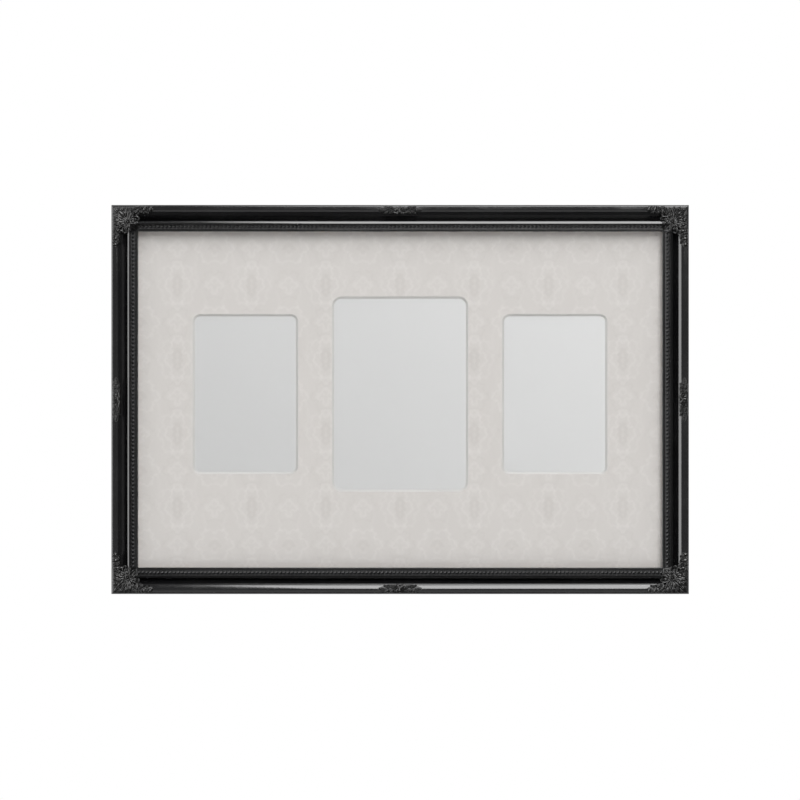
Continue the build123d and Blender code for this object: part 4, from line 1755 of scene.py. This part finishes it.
@dataclass(frozen=True)
class Bumpers:
    """Round rubber pads on the back, which stand on the wall."""

    radius: float = 6.0 * MM
    place: float = 33.0 * MM
    soft: float = 0.8 * MM
    dish: float = 0.35 * MM

    def build(self, layout: Layout, moulding: Moulding, finish: Material) -> None:
        """Turn one pad with a rounded rim and a slightly dished face, and set four of them.

        Args:
            layout: The frame's outer size.
            moulding: The moulding, for the middle of its back.
            finish: The material.
        """
        tall = -layout.back
        rim = arc((self.radius - self.soft, tall - self.soft), self.soft, 0.0, 90.0, 6)
        r = np.linspace(0.8, 0.01, 8)
        face = np.column_stack([self.radius * r, tall - self.dish * (1.0 - (r / 0.8) ** 2)])
        start = np.array([(0.02 * MM, 0.0), (self.radius, 0.0)])
        pad = Shell.tube(revolve(np.concatenate([start, rim, face]), 40))
        across = (moulding.face_width() - moulding.rebate) / 2
        shells = []
        for level in (-1.0, 1.0):
            for end in (-1.0, 1.0):
                x = end * (layout.width / 2 - self.place)
                foot = np.array([x, layout.back, level * (layout.height / 2 - across)])
                shells.append(pad.moved(lambda points: foot + points[:, [0, 2, 1]]))
        make_piece("rubber_bumpers", shells, Slot.RUBBER, (finish,), "wall_bumpers")


def panel(name: str, low: Triple, high: Triple, material: Material) -> Piece:
    """Make a staged rectangle between two corners that share one coordinate.

    Args:
        name: Its name.
        low: Its first corner.
        high: The corner across from it.
        material: Its material.

    Returns:
        The rectangle.
    """
    first, second = (axis for axis in range(3) if low[axis] != high[axis])
    corners = np.tile(np.array(low), (4, 1))
    corners[1:3, first] = high[first]
    corners[2:, second] = high[second]
    mesh = bpy.data.meshes.new(name)
    mesh.from_pydata(corners.tolist(), [], [(0, 1, 2, 3)])
    mesh.materials.append(material)
    made = stand(name, mesh)
    return made


@dataclass(frozen=True)
class Lamp:
    """A rectangular soft lamp that faces the frame."""

    name: str
    place: Triple
    size: Pair
    radiance: float
    throw: Throw

    def hang(self) -> None:
        """Hang the lamp, seen only by what it lights."""
        data = bpy.data.lights.new(self.name, "AREA")
        data.shape = "RECTANGLE"
        data.size, data.size_y = self.size
        data.energy = self.radiance * math.pi * self.size[0] * self.size[1]
        lamp = stand(self.name, data)
        lamp.location = self.place
        aim = -np.array(self.place)
        aim /= np.linalg.norm(aim)
        lamp.rotation_euler = (math.acos(-aim[2]), 0.0, math.atan2(-aim[0], aim[1]))
        lamp.visible_camera = False
        lamp.visible_diffuse = self.throw is Throw.MATT
        lamp.visible_glossy = self.throw is Throw.GLOSS


@dataclass(frozen=True)
class Flag:
    """A felt screen outside the view, which only what shines can see."""

    name: str
    low: Triple
    high: Triple
    glow: float
    nap: float = 0.2

    def put_up(self) -> None:
        """Put the screen up."""
        bench = Bench(self.name)
        shader = bench.node("Emission")
        nap = bench.noise(bench.place(), self.nap)
        tones = [(self.glow * share,) * 3 for share in (0.9, 1.1)]
        bench.join(bench.blend(nap, *tones), shader.inputs["Color"])
        flag = panel(self.name, self.low, self.high, bench.close(shader.outputs["Emission"]))
        flag.visible_camera = False
        flag.visible_diffuse = False
        flag.visible_shadow = False
        flag.visible_transmission = False


@dataclass(frozen=True)
class Studio:
    """Plain pale floor, soft lamps, white surroundings and the camera in front of the frame."""

    distance: float = 3.0
    view_width: float = 734.3 * MM
    camera_right: float = -0.1 * MM
    camera_up: float = -0.45 * MM
    sensor: float = 36.0
    floor_drop: float = 0.68
    floor_reach: float = 2.3
    floor_tone: Triple = (0.80, 0.80, 0.79)
    floor_roughness: float = 0.7
    cloud: float = 0.3
    world_fill: float = 0.235
    lamps: tuple[Lamp, ...] = (
        Lamp("matt_softbox", (0.75, -3.4, 3.2), (2.0, 4.6), 6.8, Throw.MATT),
        Lamp("rear_softbox", (-0.8, 3.4, 2.8), (2.0, 3.0), 6.5, Throw.MATT),
        Lamp("key_softbox", (0.49, -4.0, 2.45), (1.7, 4.2), 10.7, Throw.GLOSS),
        Lamp("ceiling_softbox", (0.8, -1.3, 3.2), (1.7, 2.2), 5.0, Throw.GLOSS),
        Lamp("left_softbox", (-1.95, -0.85, 0.0), (2.6, 1.2), 5.3, Throw.GLOSS),
    )
    flags: tuple[Flag, ...] = (
        Flag("right_flag", (1.9, 0.6, -1.4), (1.9, -5.2, 3.8), 0.08),
        Flag("low_flag", (-3.0, 0.3, -0.62), (3.0, -1.7, -0.62), 0.10),
        Flag("back_flag", (-3.6, -5.2, -0.5), (3.6, -5.2, 4.6), 0.38),
        Flag("roof_flag", (-3.6, 0.8, 4.6), (3.6, -5.2, 4.6), 0.38),
    )

    def floor(self) -> None:
        """Lay the floor below the frame, short of the camera's view."""
        bench = Bench("pale_studio_floor")
        shade = bench.noise(bench.place(), self.cloud)
        shader = bench.node("BsdfPrincipled", Roughness=self.floor_roughness)
        tint = bench.blend(shade, self.floor_tone, tuple(value * 1.03 for value in self.floor_tone))
        bench.join(tint, shader.inputs["Base Color"])
        reach, level = self.floor_reach, -self.floor_drop
        finish = bench.close(shader.outputs["BSDF"])
        panel("studio_floor", (-reach, -reach, level), (reach, reach, level), finish)

    def surroundings(self) -> None:
        """White for the camera, gloss and glass, and a weaker fill for everything else."""
        bench = Bench("white_studio", world=True)
        rays = bench.node("LightPath").outputs
        shown = Field(bench, rays["Is Camera Ray"])
        for kind in ("Is Glossy Ray", "Is Transmission Ray"):
            shown = shown.apply("MAXIMUM", Field(bench, rays[kind]))
        strength = bench.node("MapRange", To_Min=self.world_fill)
        back = bench.node("Background", Color=(1.0, 1.0, 1.0, 1.0))
        bench.join(shown, strength.inputs["Value"])
        bench.join(strength.outputs["Result"], back.inputs["Strength"])
        bpy.context.scene.world = bench.close(back.outputs[0])

    def camera(self, front: float) -> None:
        """Set the camera square on to the frame.

        Args:
            front: Level of the rails' front edge, where the view width is measured.
        """
        data = bpy.data.cameras.new("front_camera")
        data.sensor_width = self.sensor
        data.lens = self.sensor * self.distance / self.view_width
        camera = stand("front_camera", data)
        camera.location = (self.camera_right, front - self.distance, self.camera_up)
        camera.rotation_euler = (math.pi / 2, 0.0, 0.0)
        bpy.context.scene.camera = camera

    def build(self, front: float) -> None:
        """Put up the floor, the surroundings, the lamps, the flags and the camera."""
        self.floor()
        self.surroundings()
        for lamp in self.lamps:
            lamp.hang()
        for flag in self.flags:
            flag.put_up()
        self.camera(front)
        bpy.context.scene.view_settings.view_transform = "Standard"


def main() -> None:
    """Build the frame's pieces in order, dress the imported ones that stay, and set up the studio."""
    logging.basicConfig(level=logging.INFO, format="%(name)s: %(message)s")
    layout = Layout.read()
    sides = layout.sides()
    lacquer = Lacquer().material()
    cast = CastBlack().material()
    zinc = Plated(
        "zinc_plated_steel", (0.60, 0.60, 0.58), (0.44, 0.44, 0.43), (0.26, 0.42), metallic=1.0
    ).material()
    painted = Plated(
        "black_painted_steel", (0.030, 0.030, 0.032), (0.075, 0.074, 0.073), (0.32, 0.5)
    ).material()

    moulding = Moulding()
    moulding.build(sides, lacquer, BareWood().material())
    satin = Lacquer("satin_black_beading", roughness=(0.27, 0.36)).material()
    BeadStrips().build(sides, moulding, satin)
    relief = Relief()
    CornerCasting().build(sides, relief, cast)
    CentreCasting().build(sides, relief, cast)

    core = Card("white_board_core", (0.58, 0.57, 0.555), (0.65, 0.64, 0.625)).material()
    MountBoard().build(Damask().material(), core)
    greys = ((0.52, 0.52, 0.52), (0.80, 0.80, 0.80))
    # painted light: the grey cards run lighter towards the upper right, as the light falls on them
    card = Card("plain_grey_card", *greys, painted_light_across=0.9, painted_light_up=1.2, middle=0.48).material()
    for name in ("left", "centre", "right"):
        dress_node(f"{name}_photo_card", card)
    dress_node("glass_pane", PictureGlass().material())
    dress_node("backing_board", Fibreboard().material())
    dress_node("mitre_v_nails", zinc)

    pivots = TurnButtons().build(layout.back, painted)
    screws = Screws()
    seats = [(pivot, BUTTON_SEAT) for pivot in pivots]
    screws.build("button_screws", "turn_button_screws", seats, zinc)
    seats = Hangers().build(layout.back, zinc)
    screws.build("strap_screws", "hanger_screws", seats, zinc)
    Bumpers().build(layout, moulding, Rubber().material())

    Studio().build(layout.back - moulding.ledge_height)


if __name__ == "__main__":
    main()
